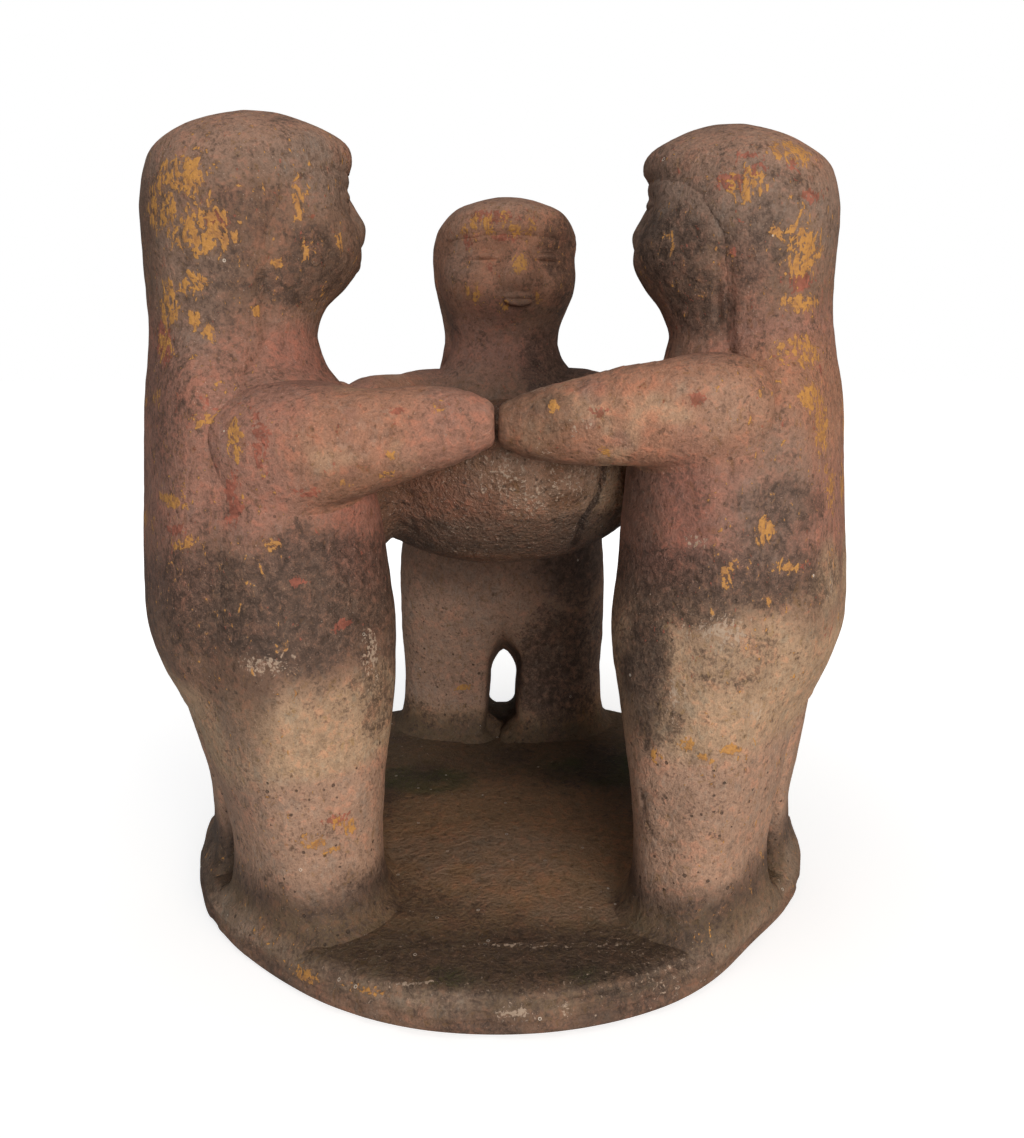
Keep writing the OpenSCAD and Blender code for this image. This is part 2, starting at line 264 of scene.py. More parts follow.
def fade(tree, start, end, value):
    """0 to 1 between two values, eased at both ends."""
    sockets = {0: value, 1: start, 2: end, 3: 0.0, 4: 1.0}
    return put(tree, "ShaderNodeMapRange", sockets, interpolation_type="SMOOTHSTEP").outputs[0]


def off_middle(tree, where, scale, detail, distortion=0.0):
    """Noise about 0, from -0.5 to 0.5 at most, its lumps about one `scale`th of a metre across."""
    sockets = {"Vector": where, "Scale": scale, "Detail": detail, "Roughness": 0.6, "Distortion": distortion}
    return sums(tree, "SUBTRACT", put(tree, "ShaderNodeTexNoise", sockets).outputs[0], 0.5)


def weighted(tree, base, *terms):
    """A base plus each value times its weight."""
    total = base
    for value, weight in terms:
        total = sums(tree, "MULTIPLY_ADD", value, weight, total)
    return total


def blended(tree, share, a, b, how="MIX"):
    made = put(tree, "ShaderNodeMix", data_type="RGBA", blend_type=how)
    for where, value in ((0, share), (6, a), (7, b)):
        if isinstance(value, bpy.types.NodeSocket):
            tree.links.new(value, made.inputs[where])
        else:
            made.inputs[where].default_value = value
    return made.outputs[2]


def laid_on(tree, mask, share, under, colour):
    """A colour laid over another where a mask is 1, covering it by a share."""
    return blended(tree, sums(tree, "MULTIPLY", mask, share), under, colour)


def rgba(name, level=1.0):
    return tuple(v * level for v in EARTHS[name]) + (1.0,)


# Low-fired clay after years by the hearth: mottled body, smoke that thins out in flecks and, through the
# same stain, painted shade in creases, cracks and shaded places, slip paint left in flakes, chalky chips,
# and pores. It puts out a colour, a roughness and a height.
fired_clay = bpy.data.node_groups.new("fired_clay", "ShaderNodeTree")
for label, kind, level in (
    ("Tone", "NodeSocketColor", None),
    ("Soot_and_shade", "NodeSocketFloat", 0.0),
    ("Ochre", "NodeSocketFloat", -1.0),
    ("Red", "NodeSocketFloat", -1.0),
    ("Pale", "NodeSocketFloat", 0.0),
    ("Streaks", "NodeSocketFloat", 0.5),
    ("Pores", "NodeSocketFloat", 0.5),
    ("Crust", "NodeSocketFloat", 0.0),
):
    made = fired_clay.interface.new_socket(name=label, in_out="INPUT", socket_type=kind)
    if level is not None:
        made.default_value = level
for label, kind in (
    ("Colour", "NodeSocketColor"),
    ("Roughness", "NodeSocketFloat"),
    ("Height", "NodeSocketFloat"),
):
    fired_clay.interface.new_socket(name=label, in_out="OUTPUT", socket_type=kind)

tree = fired_clay
given = tree.nodes.new("NodeGroupInput").outputs
place = put(tree, "ShaderNodeTexCoord").outputs["Object"]
drawn = put(tree, "ShaderNodeMapping", {"Vector": place, "Scale": (1.0, 1.0, 0.22)}).outputs[0]
wiped = put(tree, "ShaderNodeMapping", {"Vector": place, "Scale": (1.0, 1.0, 0.55)}).outputs[0]
broad = off_middle(tree, place, 60, 2.0)
mottle = off_middle(tree, place, 210, 3.0)
meal = off_middle(tree, place, 430, 2.0, 0.6)
grain = off_middle(tree, place, 1050, 3.0)
dust = off_middle(tree, place, 2900, 1.0)
strokes = off_middle(tree, drawn, 620, 2.0, 0.8)
swirl = off_middle(tree, wiped, 300, 2.0, 2.2)
streak = sums(tree, "MULTIPLY", strokes, given["Streaks"])
shade = weighted(
    tree, 1.0, (mottle, 0.9), (meal, 0.8), (grain, 1.0), (dust, 0.7), (streak, 1.4), (swirl, 0.8)
)
shade = sums(tree, "MAXIMUM", shade, 0.3)
grey = put(tree, "ShaderNodeCombineColor", {0: shade, 1: shade, 2: shade}).outputs[0]
body = blended(tree, 1.0, given["Tone"], grey, "MULTIPLY")
redder = fade(tree, 0.02, 0.22, weighted(tree, 0.0, (meal, 1.0), (mottle, 0.6), (broad, 0.5)))
greyer = fade(tree, 0.04, 0.24, weighted(tree, 0.0, (mottle, -0.8), (swirl, 0.9), (broad, -0.4)))
yellower = fade(tree, 0.10, 0.26, weighted(tree, 0.0, (swirl, -0.9), (meal, -0.6)))
for mask, share, shift in (
    (redder, 0.6, (1.16, 0.92, 0.84, 1.0)),
    (greyer, 0.8, (0.88, 1.0, 1.08, 1.0)),
    (yellower, 0.7, (1.10, 1.04, 0.78, 1.0)),
):
    body = laid_on(tree, mask, share, body, blended(tree, 1.0, body, shift, "MULTIPLY"))
flecks = weighted(
    tree, 0.0, (given["Soot_and_shade"], 1.0), (grain, 2.0), (mottle, 1.3), (swirl, 1.0), (streak, 1.6), (dust, 0.5)
)
# The smoke colour laid here paints real smoke, and painted shade where the soot stain carries shade in
# creases, cracks and shaded places.
soot_and_shade_mask = fade(tree, 0.22, 0.74, flecks)
smoked = blended(tree, 1.0, body, (0.32, 0.29, 0.27, 1.0), "MULTIPLY")
cloudy = fade(tree, -0.2, 0.25, weighted(tree, 0.0, (grain, 1.0), (meal, 0.7)))
smoke = blended(tree, 0.45, blended(tree, cloudy, rgba("smoke", 0.55), rgba("smoke", 1.45)), smoked)
cover = weighted(tree, 0.84, (meal, -0.9), (swirl, -0.7), (dust, -0.8))
body = blended(tree, sums(tree, "MULTIPLY", soot_and_shade_mask, cover, clamp=True), body, smoke)
chipped = fade(tree, 0.55, 0.85, weighted(tree, 0.0, (given["Pale"], 1.0), (grain, 2.2), (swirl, 1.3)))
body = laid_on(tree, chipped, 0.65, body, blended(tree, 0.5, rgba("buff", 1.2), rgba("chalk", 0.8)))
crumbs = fade(tree, 0.24, 0.30, sums(tree, "MULTIPLY_ADD", given["Crust"], 0.07, dust))
body = laid_on(tree, crumbs, 0.55, body, rgba("chalk", 0.9))
red_wear = weighted(tree, -0.12, (swirl, -2.0), (grain, 1.5), (strokes, 0.9))
flaked_red = fade(tree, 0.0, 0.12, sums(tree, "ADD", sums(tree, "MINIMUM", given["Red"], 0.32), red_wear))
red_slip = blended(tree, fade(tree, -0.2, 0.2, meal), rgba("red", 0.65), rgba("red", 1.25))
body = laid_on(tree, flaked_red, 0.72, body, red_slip)
wear = weighted(tree, -0.15, (swirl, 2.6), (grain, 1.5), (strokes, 1.2))
stained = fade(tree, -0.35, 0.25, sums(tree, "ADD", sums(tree, "MINIMUM", given["Ochre"], 0.3), wear))
body = laid_on(tree, stained, 0.35, body, rgba("rust"))
flaked = fade(tree, 0.02, 0.10, sums(tree, "ADD", sums(tree, "MINIMUM", given["Ochre"], 0.34), wear))
thick = fade(tree, -0.22, 0.16, weighted(tree, 0.0, (meal, 1.0), (grain, 0.8)))
body = laid_on(tree, flaked, 0.88, body, blended(tree, thick, rgba("rust", 1.15), rgba("ochre", 1.0)))
cells = put(tree, "ShaderNodeTexVoronoi", {"Vector": place, "Scale": 360.0, "Randomness": 1.0})
drawn_lots = put(tree, "ShaderNodeSeparateColor", {0: cells.outputs["Color"]}).outputs
chosen = fade(tree, 0.50, 0.56, drawn_lots[0])
reach = sums(tree, "MULTIPLY_ADD", drawn_lots[1], -0.14, cells.outputs["Distance"])
reach = sums(tree, "MULTIPLY_ADD", grain, 0.25, reach)
hole = sums(tree, "MULTIPLY", fade(tree, 0.10, 0.02, reach), chosen)
hole = sums(tree, "MULTIPLY", hole, given["Pores"], clamp=True)
body = laid_on(tree, hole, 0.8, body, rgba("smoke", 0.5))
ring = sums(tree, "ABSOLUTE", sums(tree, "SUBTRACT", cells.outputs["Distance"], 0.14))
ring = sums(tree, "MULTIPLY", fade(tree, 0.05, 0.02, ring), fade(tree, 0.014, 0.010, drawn_lots[2]))
body = laid_on(tree, ring, 0.8, body, rgba("chalk", 1.1))
rough = weighted(tree, 0.80, (grain, 0.25), (soot_and_shade_mask, -0.12), (flaked, -0.08))
relief = weighted(
    tree, 0.5, (mottle, 0.9), (meal, 0.7), (grain, 0.6), (dust, 0.16), (swirl, 0.35), (streak, 0.7),
    (flaked, 0.12), (flaked_red, 0.07), (hole, -0.8), (chipped, -0.10), (ring, 0.15)
)
crusted = sums(tree, "MULTIPLY", weighted(tree, 0.0, (grain, 1.0), (meal, 1.0)), given["Crust"])
relief = sums(tree, "MULTIPLY_ADD", crusted, 1.2, relief)
sink = tree.nodes.new("NodeGroupOutput").inputs
for where, value in (("Colour", body), ("Roughness", rough), ("Height", relief)):
    tree.links.new(value, sink[where])


def clay_material(name, streaks, pores, crust, relief):
    """Material of one piece's clay: its tone and stains come with its points, and the flecks,
    flakes and pores from the shared group."""
    made = bpy.data.materials.new(name)
    made.use_nodes = True
    tree = made.node_tree
    tree.nodes.clear()
    group = put(tree, "ShaderNodeGroup", node_tree=fired_clay)
    for label in ("Tone", "Soot_and_shade", "Ochre", "Red", "Pale"):
        layer = put(tree, "ShaderNodeAttribute", attribute_name=label.lower())
        tree.links.new(layer.outputs["Color" if label == "Tone" else "Fac"], group.inputs[label])
    for label, value in (("Streaks", streaks), ("Pores", pores), ("Crust", crust)):
        group.inputs[label].default_value = value
    sockets = {"Height": group.outputs["Height"], "Strength": 0.9, "Distance": relief * MM}
    bump = put(tree, "ShaderNodeBump", sockets)
    sockets = {
        "Base Color": group.outputs["Colour"],
        "Roughness": group.outputs["Roughness"],
        "Normal": bump.outputs[0],
        "Specular IOR Level": 0.35,
    }
    surface = put(tree, "ShaderNodeBsdfPrincipled", sockets)
    put(tree, "ShaderNodeOutputMaterial", {"Surface": surface.outputs[0]})
    return made


def slab_clay(p):
    """Height above the slab: a disc, a little flattened on its right in front, whose edge is rounded
    more above than below."""
    r = np.hypot(p[:, 0], p[:, 1])
    turn = np.degrees(np.arctan2(p[:, 1], p[:, 0]))
    flat = 3.4 * np.exp(-(((turn + 42) / 13) ** 2)) + 1.2 * np.exp(-(((turn + 128) / 14) ** 2))
    return soft_max(soft_max(r - SLAB_R + 0.9 + flat, p[:, 2] - SLAB_T, 8), -p[:, 2], 3)


def slab_tone(p):
    """Dark olive top, worn browner in the middle, moss at the back, a buff crust along the upper edge
    and an earthy side."""
    r = np.hypot(p[:, 0], p[:, 1]) + 1.5 * lumps(p, 9, 0)
    tone = np.tile(np.array(EARTHS["olive"]), (len(p), 1))
    tone = tint(tone, "earth", cloud(p, 2, -26, SLAB_T, 52, 44, 12))
    tone = tint(tone, "worn", 0.55 * cloud(p, -6, -34, SLAB_T, 30, 18, 9) * ease(-0.7, 0.5, lumps(p, 8, 1)))
    tone = tint(tone, "worn", 0.35 * cloud(p, 12, -62, SLAB_T, 30, 12, 9) * ease(-0.4, 0.6, lumps(p, 6, 3)))
    for x, y, rx, ry in (
        (-30, 16, 20, 11), (36, 24, 24, 12), (62, 30, 20, 22), (-20, -92, 14, 5), (30, -90, 12, 4),
        (-70, 30, 18, 20),
    ):
        tone = tint(tone, "moss", 0.8 * cloud(p, x, y, SLAB_T, rx, ry, 9) * ease(-0.6, 0.4, lumps(p, 7, 2)))
    side = ease(SLAB_T - 3, SLAB_T - 7, p[:, 2] + 1.2 * lumps(p, 6, 1))
    edge = ease(SLAB_R - 7, SLAB_R - 3, r) * (1 - side)
    tone = tint(tone, "worn", edge * (0.6 + 0.5 * lumps(p, 12, 3)))
    tone = tint(tone, "brown", side * 0.9)
    return tint(tone, "umber", side * ease(-0.1, 0.7, lumps(p, 14, 2)))


def slab_soot(p):
    """Smoke and dirt of the slab, worn off in the middle between the figures."""
    level = 0.24 + 0.42 * ease(-0.3, 0.7, lumps(p, 16, 0)) + 0.35 * cloud(p, 0, -84, SLAB_T, 70, 13, 9)
    return level * (1 - 0.75 * cloud(p, 0, -26, SLAB_T, 40, 34, 9))


def slab_finish(p):
    """Tone and stains of the slab, with dabs of paint and chalky rubbed places on its upper edge."""
    dabs = [(-34, -95, 8.5, 9, 5, 1.6), (-50, -86, 7, 5, 5, 2), (70, -60, 9, 5, 5, 1.5)]
    rubbed = [
        (-22, -93, SLAB_T, 14, 1.0, 3),
        (6, -79, SLAB_T, 26, 0.9, 3),
        (30, -78, SLAB_T, 8, 0.7, 3),
        (-30, -64, SLAB_T, 12, 0.8, 3),
        (24, -62, SLAB_T, 5, 0.6, 3),
        (5, -100, 7, 9, 4, 3.2),
        (17, -99, 7, 4, 4, 2.4),
        (62, -80, 8, 6, 6, 2),
    ]
    return slab_tone(p), {
        "soot_and_shade": slab_soot(p),
        "ochre": patch(p, dabs, 0.25),
        "red": np.full(len(p), -1.0),
        "pale": 0.12 + 0.9 * np.maximum(patch(p, rubbed), 0) + 0.2 * cloud(p, 46, -82, 7, 26, 16, 5),
    }


def turned_rays(start_r, start_z, lean, around, dense_at=None):
    """Rays round a turned section: from each point of the section at an angle `lean` above level,
    repeated round the axis, closer together about the angle `dense_at`."""
    turn = np.linspace(0, 2 * math.pi, around, endpoint=False)
    if dense_at is not None:
        turn = turn - 0.62 * np.sin(turn) + dense_at
    c, s = np.cos(turn)[None, :], np.sin(turn)[None, :]
    r, z, flat, rise = (v[:, None] for v in (start_r, start_z, np.cos(lean), np.sin(lean)))
    start = np.stack([r * c, r * s, z + 0 * c], 2)
    aim = np.stack([flat * c, flat * s, rise + 0 * c], 2)
    return start, aim


def slab_relief(p):
    """Unevenness of the slab: worked clay, chips off the upper edge, ridges scraped round it, a
    crack and two scraped lines. The underside stays flat."""
    r = np.hypot(p[:, 0], p[:, 1])
    edge = ease(SLAB_R - 8, SLAB_R - 2, r)
    chips = ease(0.15, 0.8, lumps(p, 5, 1)) * ease(SLAB_R - 5, SLAB_R - 1, r)
    step = 0.7 * worked(p) - 0.9 * chips + 0.6 * edge * lumps(p, 17, 2)
    step += 0.22 * edge * np.sin(p[:, 2] * 2.6 + 2 * lumps(p, 13, 0))
    crack = [(66, -62, 9.2), (58, -72, 9.6), (50, -77, 9.6), (40, -83, 9.8), (28, -87, 10)]
    step -= 0.5 * scored(p, crack, 0.8) * ease(-0.3, 0.5, lumps(p, 6, 3))
    scrape = [(-34, -84, SLAB_T), (-20, -80, SLAB_T), (2, -78, SLAB_T), (26, -77, SLAB_T), (36, -80, SLAB_T)]
    step += 0.45 * scored(p, scrape, 0.8) * ease(-0.6, 0.2, lumps(p, 9, 1))
    return step * ease(0.3, 4.0, p[:, 2])


def press_slab():
    """The slab's grid: rays straight down from its middle plane, fanned round its edge and straight
    up."""
    inner = SLAB_R - 12.0
    flat = np.sqrt(np.linspace(0, 1, int(40 * FINE))) * inner
    edge = np.full(int(64 * FINE), inner)
    top = np.linspace(inner, 0, int(84 * FINE))
    round_edge = np.linspace(-QUARTER, QUARTER, len(edge))
    lean = np.concatenate([np.full(len(flat), -QUARTER), round_edge, np.full(len(top), QUARTER)])
    r = np.concatenate([flat, edge, top])
    start, aim = turned_rays(r, np.full(len(r), SLAB_T / 2), lean, int(500 * FINE))
    rows = settle(slab_clay, start.reshape(-1, 3), aim.reshape(-1, 3), slab_relief)
    return skin(rows.reshape(start.shape))


slab_material = clay_material("slab_clay", 0.0, 0.35, 0.15, 0.55)
lay_up("slab", [press_slab()], slab_finish, slab_material, "slab_clay", "base_slab")


# ------------------------------------------------------- bodies and legs
# Each figure is one upright roll of clay, squared a little by the palms, standing on the slab and
# facing its middle. The legs are parted below by an arch cut through and a groove above it, and the
# feet are smeared out on the slab.

bowl_low, bowl_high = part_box("bowl")
BOWL_R = (bowl_high.x - bowl_low.x) / 2 / MM
BOWL_Z, RIM_Z = bowl_low.z / MM, bowl_high.z / MM
# How far a chest stands before its figure's middle line, and how deep the bowl is pressed into it
CHEST, SEAT = 30.0, 2.0
STAND_R = BOWL_R + CHEST - SEAT
torso_low, torso_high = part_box("back_figure_torso")
HIP_Z, NECK_Z = torso_low.z / MM, torso_high.z / MM
HALF_W = (torso_high.x - torso_low.x) / 2 / MM
# Half width of the arch between the legs, and where it starts to close and its groove ends
ARCH_HALF = 5.6
ARCH_SPRING, GROOVE_TOP = SLAB_T + 23, HIP_Z - 1

# Each figure's measures in mm, then its look in its own axes: bands (height, tone), clouds (tone,
# share, ellipsoid), soot and painted shade (strength, ellipsoid), flakes and rubs (ellipsoids) and
# creases (points, width, depth)
FIGURES = {
    "left_figure": dict(
        stands=210, back=22.5, belly=36, thigh=33, calf=13, shin=28.5, skull=57, nose=33, turn=0,
        neck=21.5, chin=-1.5, hair_in=0, dome=8.5, drop=26, arm=28,
        bands=[(11, "foot"), (18, "foot"), (29, "shin"), (52, "shin"), (58, "buff"), (76, "buff"),
               (84, "brown"), (112, "brown"), (124, "rose"), (150, "rose"), (163, "rose"),
               (176, "brown"), (198, "brown"), (208, "slate"), (214, "crown")],
        clouds=[("brick", 0.8, 24, 38, 118, 14, 20, 16), ("slate", 0.8, 16, 24, 205, 12, 10, 9),
                ("slate", 0.6, -16, 20, 180, 10, 12, 20), ("rose", 0.6, -22, 14, 112, 10, 20, 16),
                ("brick", 0.7, 12, 20, 163, 10, 9, 7), ("crown", 0.6, -6, 14, 214, 20, 16, 10),
                ("foot", 0.7, -12, 30, 84, 10, 14, 22), ("slate", 0.4, -16, 32, 60, 8, 10, 20)],
        soot_and_shade=[(0.80, 12, 22, 178, 15, 10, 12), (0.55, -6, 23, 184, 12, 9, 15),
              (0.95, 0, 36, 102, 42, 60, 17), (0.7, 18, 36, 86, 5, 14, 9),
              (0.45, -14, 30, 116, 10, 20, 14), (0.45, -20, 12, 150, 10, 18, 34),
              (0.62, 22, 38, 76, 5, 14, 15), (0.40, -22, 16, 92, 8, 20, 14),
              (0.45, 12, 40, 15, 18, 14, 6), (0.35, -12, 22, 205, 8, 12, 8),
              (0.55, 30, 30, 80, 10, 14, 20), (0.5, 20, 8, 100, 20, 12, 30)],
        ochre=[(-14, 19, 202, 6, 8, 5), (-12, 21, 190, 9, 9, 5.5), (-19, 12, 196, 5, 6, 6),
               (11, 25, 198, 1.8, 6, 6), (12, 23, 187, 1.5, 5, 3), (21, 22, 189, 2.4, 5, 2.4),
               (5, 22, 184, 2, 5, 1.8), (-14, 18, 178, 3.4, 6, 3), (-14, 18, 170, 1.5, 5, 2.8),
               (-11, 21, 167, 1.9, 5, 1.8), (0, 20, 172, 1.6, 5, 1.5), (-18, 12, 174, 3, 5, 7),
               (-21, 12, 164, 2.6, 5, 4), (-24, 8, 152, 2.2, 6, 4), (-10, 33, 142, 1.5, 5, 6),
               (-16, 26, 147, 3, 5, 2), (-23, 18, 127, 4, 6, 2), (-21, 23, 117, 4, 6, 2),
               (-4, 38, 117, 3, 5, 2), (9, 41, 43, 2.6, 5, 2), (1, 40, 38, 3, 5, 1.8),
               (12, 41, 40, 2, 5, 2.6), (5, 41, 35, 2.6, 5, 1.3), (-27, 6, 120, 2, 5, 3)],
        red=[(-5, 38, 142, 1.3, 6, 8), (-11, 32, 128, 1.3, 6, 7), (-14, 22, 150, 1.6, 6, 3),
             (4, 39, 130, 3, 6, 1.2), (-8, 22, 192, 3, 6, 2), (12, 40, 95, 3, 5, 1.4),
             (2, 40, 108, 3, 5, 1.2), (-20, 10, 165, 2, 5, 6), (-22, 18, 120, 3, 6, 1.6),
             (8, 41, 44, 4, 5, 1.5)],
        pale=[(-6, 37, 100, 0.9, 4, 0.9), (2, 39, 96, 0.8, 4, 0.8), (-8, 38, 88, 16, 8, 5),
              (20, 40, 86, 5, 12, 12)],
        creases=[([(17, -42, 24), (16.5, -43, 19), (17.5, -43, 13)], 0.8, 1.6)],
    ),
    "right_figure": dict(
        stands=330, back=21, belly=33, thigh=27, calf=13.5, shin=22.5, skull=54, nose=31, turn=0,
        neck=24, chin=-1, hair_in=2, dome=8.5, drop=13, arm=27,
        bands=[(11, "foot"), (18, "foot"), (30, "shin"), (60, "shin"), (68, "buff"), (92, "buff"),
               (104, "brown"), (116, "rose"), (132, "rose"), (146, "salmon"), (160, "salmon"),
               (168, "rose"), (176, "brown"), (198, "slate"), (212, "crown")],
        # The brick and umber clouds at the waist under the arm are partly painted shade of the arm.
        clouds=[("brick", 0.8, 12, 38, 124, 12, 20, 18), ("umber", 0.6, 20, 40, 126, 10, 24, 16),
                ("slate", 0.7, -12, 26, 128, 10, 12, 22), ("slate", 0.5, -4, 24, 206, 12, 10, 9),
                ("crown", 0.7, -4, 12, 214, 22, 16, 9), ("buff", 0.9, -25, 12, 107, 5, 9, 9),
                ("shin", 0.6, 2, 38, 150, 14, 14, 8), ("foot", 0.8, 14, 38, 80, 8, 14, 20),
                ("brown", 0.6, 12, 22, 168, 8, 10, 9), ("rose", 0.5, -2, 22, 176, 6, 8, 12)],
        soot_and_shade=[(0.98, 17, 22, 187, 13, 10, 13), (0.80, 10, 20, 174, 9, 10, 9),
              (0.62, -4, 24, 188, 9, 8, 14), (0.70, -14, 27, 122, 12, 20, 14),
              (0.85, 0, 38, 108, 34, 60, 11), (0.95, 16, 39, 90, 8, 20, 18),
              (0.45, -6, 34, 90, 14, 20, 10), (0.60, 9, 41, 72, 7, 8, 15),
              (0.45, -12, 34, 19, 12, 12, 6), (0.5, 24, 30, 84, 8, 16, 26),
              (0.35, -20, 10, 160, 8, 18, 30), (0.5, 26, 6, 100, 12, 12, 30)],
        ochre=[(-10, 16, 208, 6, 6, 3.5), (-1, 25, 200, 5, 5, 4), (-14, 17, 186, 4.5, 8, 7.5),
               (-15, 16, 174, 7, 8, 2.2), (-16, 18, 163, 6.5, 8, 4), (-21, 14, 146, 3, 5, 8),
               (-12, 30, 120, 2.6, 5, 3.6), (-16, 25, 111, 4.4, 6, 2), (-6, 36, 109, 1.6, 5, 3.4),
               (-9, 22, 189, 2, 4, 2), (1, 41, 66, 2.4, 5, 1.8), (9, 41, 61, 2, 5, 2.4),
               (-3, 40, 63, 2, 5, 1.4), (-9, 38, 65, 3, 5, 1), (-15, 33, 40, 2.6, 5, 2.8),
               (-24, 8, 130, 2.4, 6, 8), (-23, 6, 204, 4, 6, 4), (-25, 4, 176, 3, 6, 7),
               (-18, 20, 152, 2.4, 6, 4), (-20, 16, 199, 3, 5, 3)],
        red=[(2, 26, 201, 3, 5, 2.6), (-4, 24, 203, 2, 5, 2), (-15, 16, 198, 3, 5, 2),
             (1, 22, 186, 1.5, 4, 2), (-14, 17, 179, 4, 6, 2.8), (-12, 20, 205, 3, 5, 2),
             (-21, 14, 158, 2, 5, 4), (-2, 25, 207, 3, 5, 1.6), (-20, 20, 112, 2, 5, 1.4),
             (-24, 10, 92, 2, 5, 3)],
        pale=[(-25, 12, 104, 4, 6, 6), (2, 40, 118, 6, 8, 3), (-6, 38, 96, 16, 9, 8),
              (-14, 33, 74, 6, 9, 7), (-8, 38, 52, 1.2, 4, 1.2), (4, 40, 78, 5, 8, 10)],
        creases=[([(13, 39, 50), (12, 40, 42), (8, 41, 36), (4, 41, 37)], 0.7, 0.5),
                 ([(4, 24, 190), (5, 22, 180), (5, 21, 171), (2, 23, 161)], 0.9, 0.9),
                 ([(9, 41, 92), (8, 41, 82), (10, 40, 70), (12, 40, 62)], 0.9, 0.4)],
    ),
    "back_figure": dict(
        stands=90, back=22.5, belly=38, thigh=34, calf=16, shin=27, skull=53.5, nose=28, turn=11,
        neck=24, chin=-1, hair_in=0, dome=6.5, drop=22, arm=28,
        bands=[(11, "olive"), (17, "earth"), (28, "shin"), (60, "shin"), (82, "brown"), (104, "brown"),
               (150, "brown"), (164, "rose"), (176, "brown"), (186, "salmon"), (204, "salmon"),
               (212, "crown")],
        clouds=[("brown", 0.6, 30, 25, 150, 20, 14, 20), ("rose", 0.7, 22, -14, 168, 12, 14, 8),
                ("shin", 0.6, 28, -22, 60, 14, 18, 18), ("slate", 0.5, 28, -16, 196, 8, 10, 8),
                ("crown", 0.5, 0, 0, 216, 30, 20, 8), ("brick", 0.4, 30, -4, 178, 8, 14, 6)],
        # The four strongest soot clouds darken the back figure's left half from head to foot: partly real
        # smoke and partly painted shade cast by the right-hand figure.
        soot_and_shade=[(0.95, 24, 26, 190, 18, 14, 26), (0.95, 20, 24, 160, 20, 18, 16),
              (0.95, 26, 26, 100, 20, 20, 36), (1.00, 18, 24, 44, 30, 20, 34),
              (0.45, 20, -26, 178, 14, 10, 14), (0.30, 30, -20, 90, 14, 20, 18),
              (0.35, -20, 0, 150, 10, 26, 50), (0.4, -18, -20, 96, 12, 20, 16)],
        ochre=[(30, -9, 208, 4, 1.9, 4), (32, -4, 206, 4, 2.2, 4), (32, 1, 209, 4, 1.7, 3.4),
               (31, 5, 205, 4, 2.6, 2.6), (30, 10, 206, 4, 1.9, 5), (28, -13, 205, 4, 1.4, 3),
               (35, 7, 193, 4, 3, 3.6), (29, -12, 184, 4, 1.3, 3), (32, -9, 183, 4, 1.6, 4),
               (32, 1, 179, 4, 2, 1.8), (29, 13, 182, 4, 1, 2.4), (33, 7, 176, 4, 1.6, 1.8),
               (26, -16, 32, 4, 4, 1.4), (-14, 19, 200, 6, 8, 5), (-16, -17, 190, 5, 8, 4),
               (-24, 4, 182, 5, 6, 7), (-20, -14, 165, 4, 5, 6), (-26, 6, 140, 4, 6, 8),
               (-22, -18, 120, 4, 6, 3), (-12, -36, 118, 3, 6, 2)],
        red=[(31, -2, 209, 4, 9, 2.4), (29, -12, 201, 4, 2, 3), (31, 2, 202, 4, 6, 1.5),
             (33, -4, 192, 3, 1.5, 2), (-20, 8, 196, 4, 6, 3), (-25, -4, 160, 3, 5, 5)],
        pale=[(31, -3, 208, 3, 1.2, 2.2), (31, 8, 207, 3, 1, 1.4)],
        creases=[],
    ),
}


def stand(p, f):
    """From a figure's own axes, +X to the slab's middle and +Y to its left, to the slab's axes."""
    a = math.radians(f["stands"])
    x, y = STAND_R - p[:, 0], -p[:, 1]
    return np.stack([x * math.cos(a) - y * math.sin(a), x * math.sin(a) + y * math.cos(a), p[:, 2]], 1)


def eased_rows(stations, count):
    """Rows of a table between stations, evenly spaced in the first column, on Catmull-Rom curves."""
    s = np.array(stations, float)
    s = np.vstack([2 * s[0] - s[1], s, 2 * s[-1] - s[-2]])
    u = np.linspace(0, len(s) - 3, 6 * count)
    i = np.minimum(u.astype(int), len(s) - 4)
    t = (u - i)[:, None]
    a, b, c, d = s[i], s[i + 1], s[i + 2], s[i + 3]
    rows = 0.5 * (2 * b + (c - a) * t + (2 * a - 5 * b + 4 * c - d) * t**2 + (3 * b - a - 3 * c + d) * t**3)
    z = np.linspace(stations[0][0], stations[-1][0], count)
    return np.column_stack([z] + [np.interp(z, rows[:, 0], rows[:, k]) for k in range(1, s.shape[1])])


def roll_of_clay(stations, dome, crown_round, foot_round=3.0):
    """Height above an upright roll of clay. Stations are [z, back, front, half width, power]: each
    level is a squared ellipse, and the height is the level distance to it from its middle, lessened
    where the side slopes. The top is a dome `dome` mm high, rounded into the side."""
    t = eased_rows(stations, 240)
    z, back, front, half = t[:, 0], t[:, 1], t[:, 2], t[:, 3]
    slopes = [np.gradient(v, z) for v in (back, front, half)]
    table = np.column_stack([(back + front) / 2, (front - back) / 2, half, t[:, 4]] + slopes)
    low, high, step = z[0], z[-1], z[1] - z[0]

    def height(p):
        u = np.clip((p[:, 2] - low) / step, 0, len(z) - 1.001)
        i = u.astype(int)
        w = (u - i)[:, None]
        row = (table[i] * (1 - w) + table[i + 1] * w).T
        mid, deep, wide, power, back_slope, front_slope, side_slope = row
        x, y = p[:, 0] - mid, p[:, 1]
        ax, ay = (np.abs(x) / deep) ** power, (np.abs(y) / wide) ** power
        share = np.maximum((ax + ay) ** (1 / power), 1e-3)
        slope = np.where(x > 0, front_slope, back_slope)
        slope = (ax * slope**2 + ay * side_slope**2) / np.maximum(ax + ay, 1e-6)
        side = np.hypot(x, y) * (1 - 1 / share) / np.sqrt(1 + slope)
        top = p[:, 2] - high + dome * np.minimum(share, 1.5) ** 2
        return soft_max(soft_max(side, top, crown_round), low - p[:, 2], foot_round)

    return height


def part_way(a, b, share):
    return a + (b - a) * share


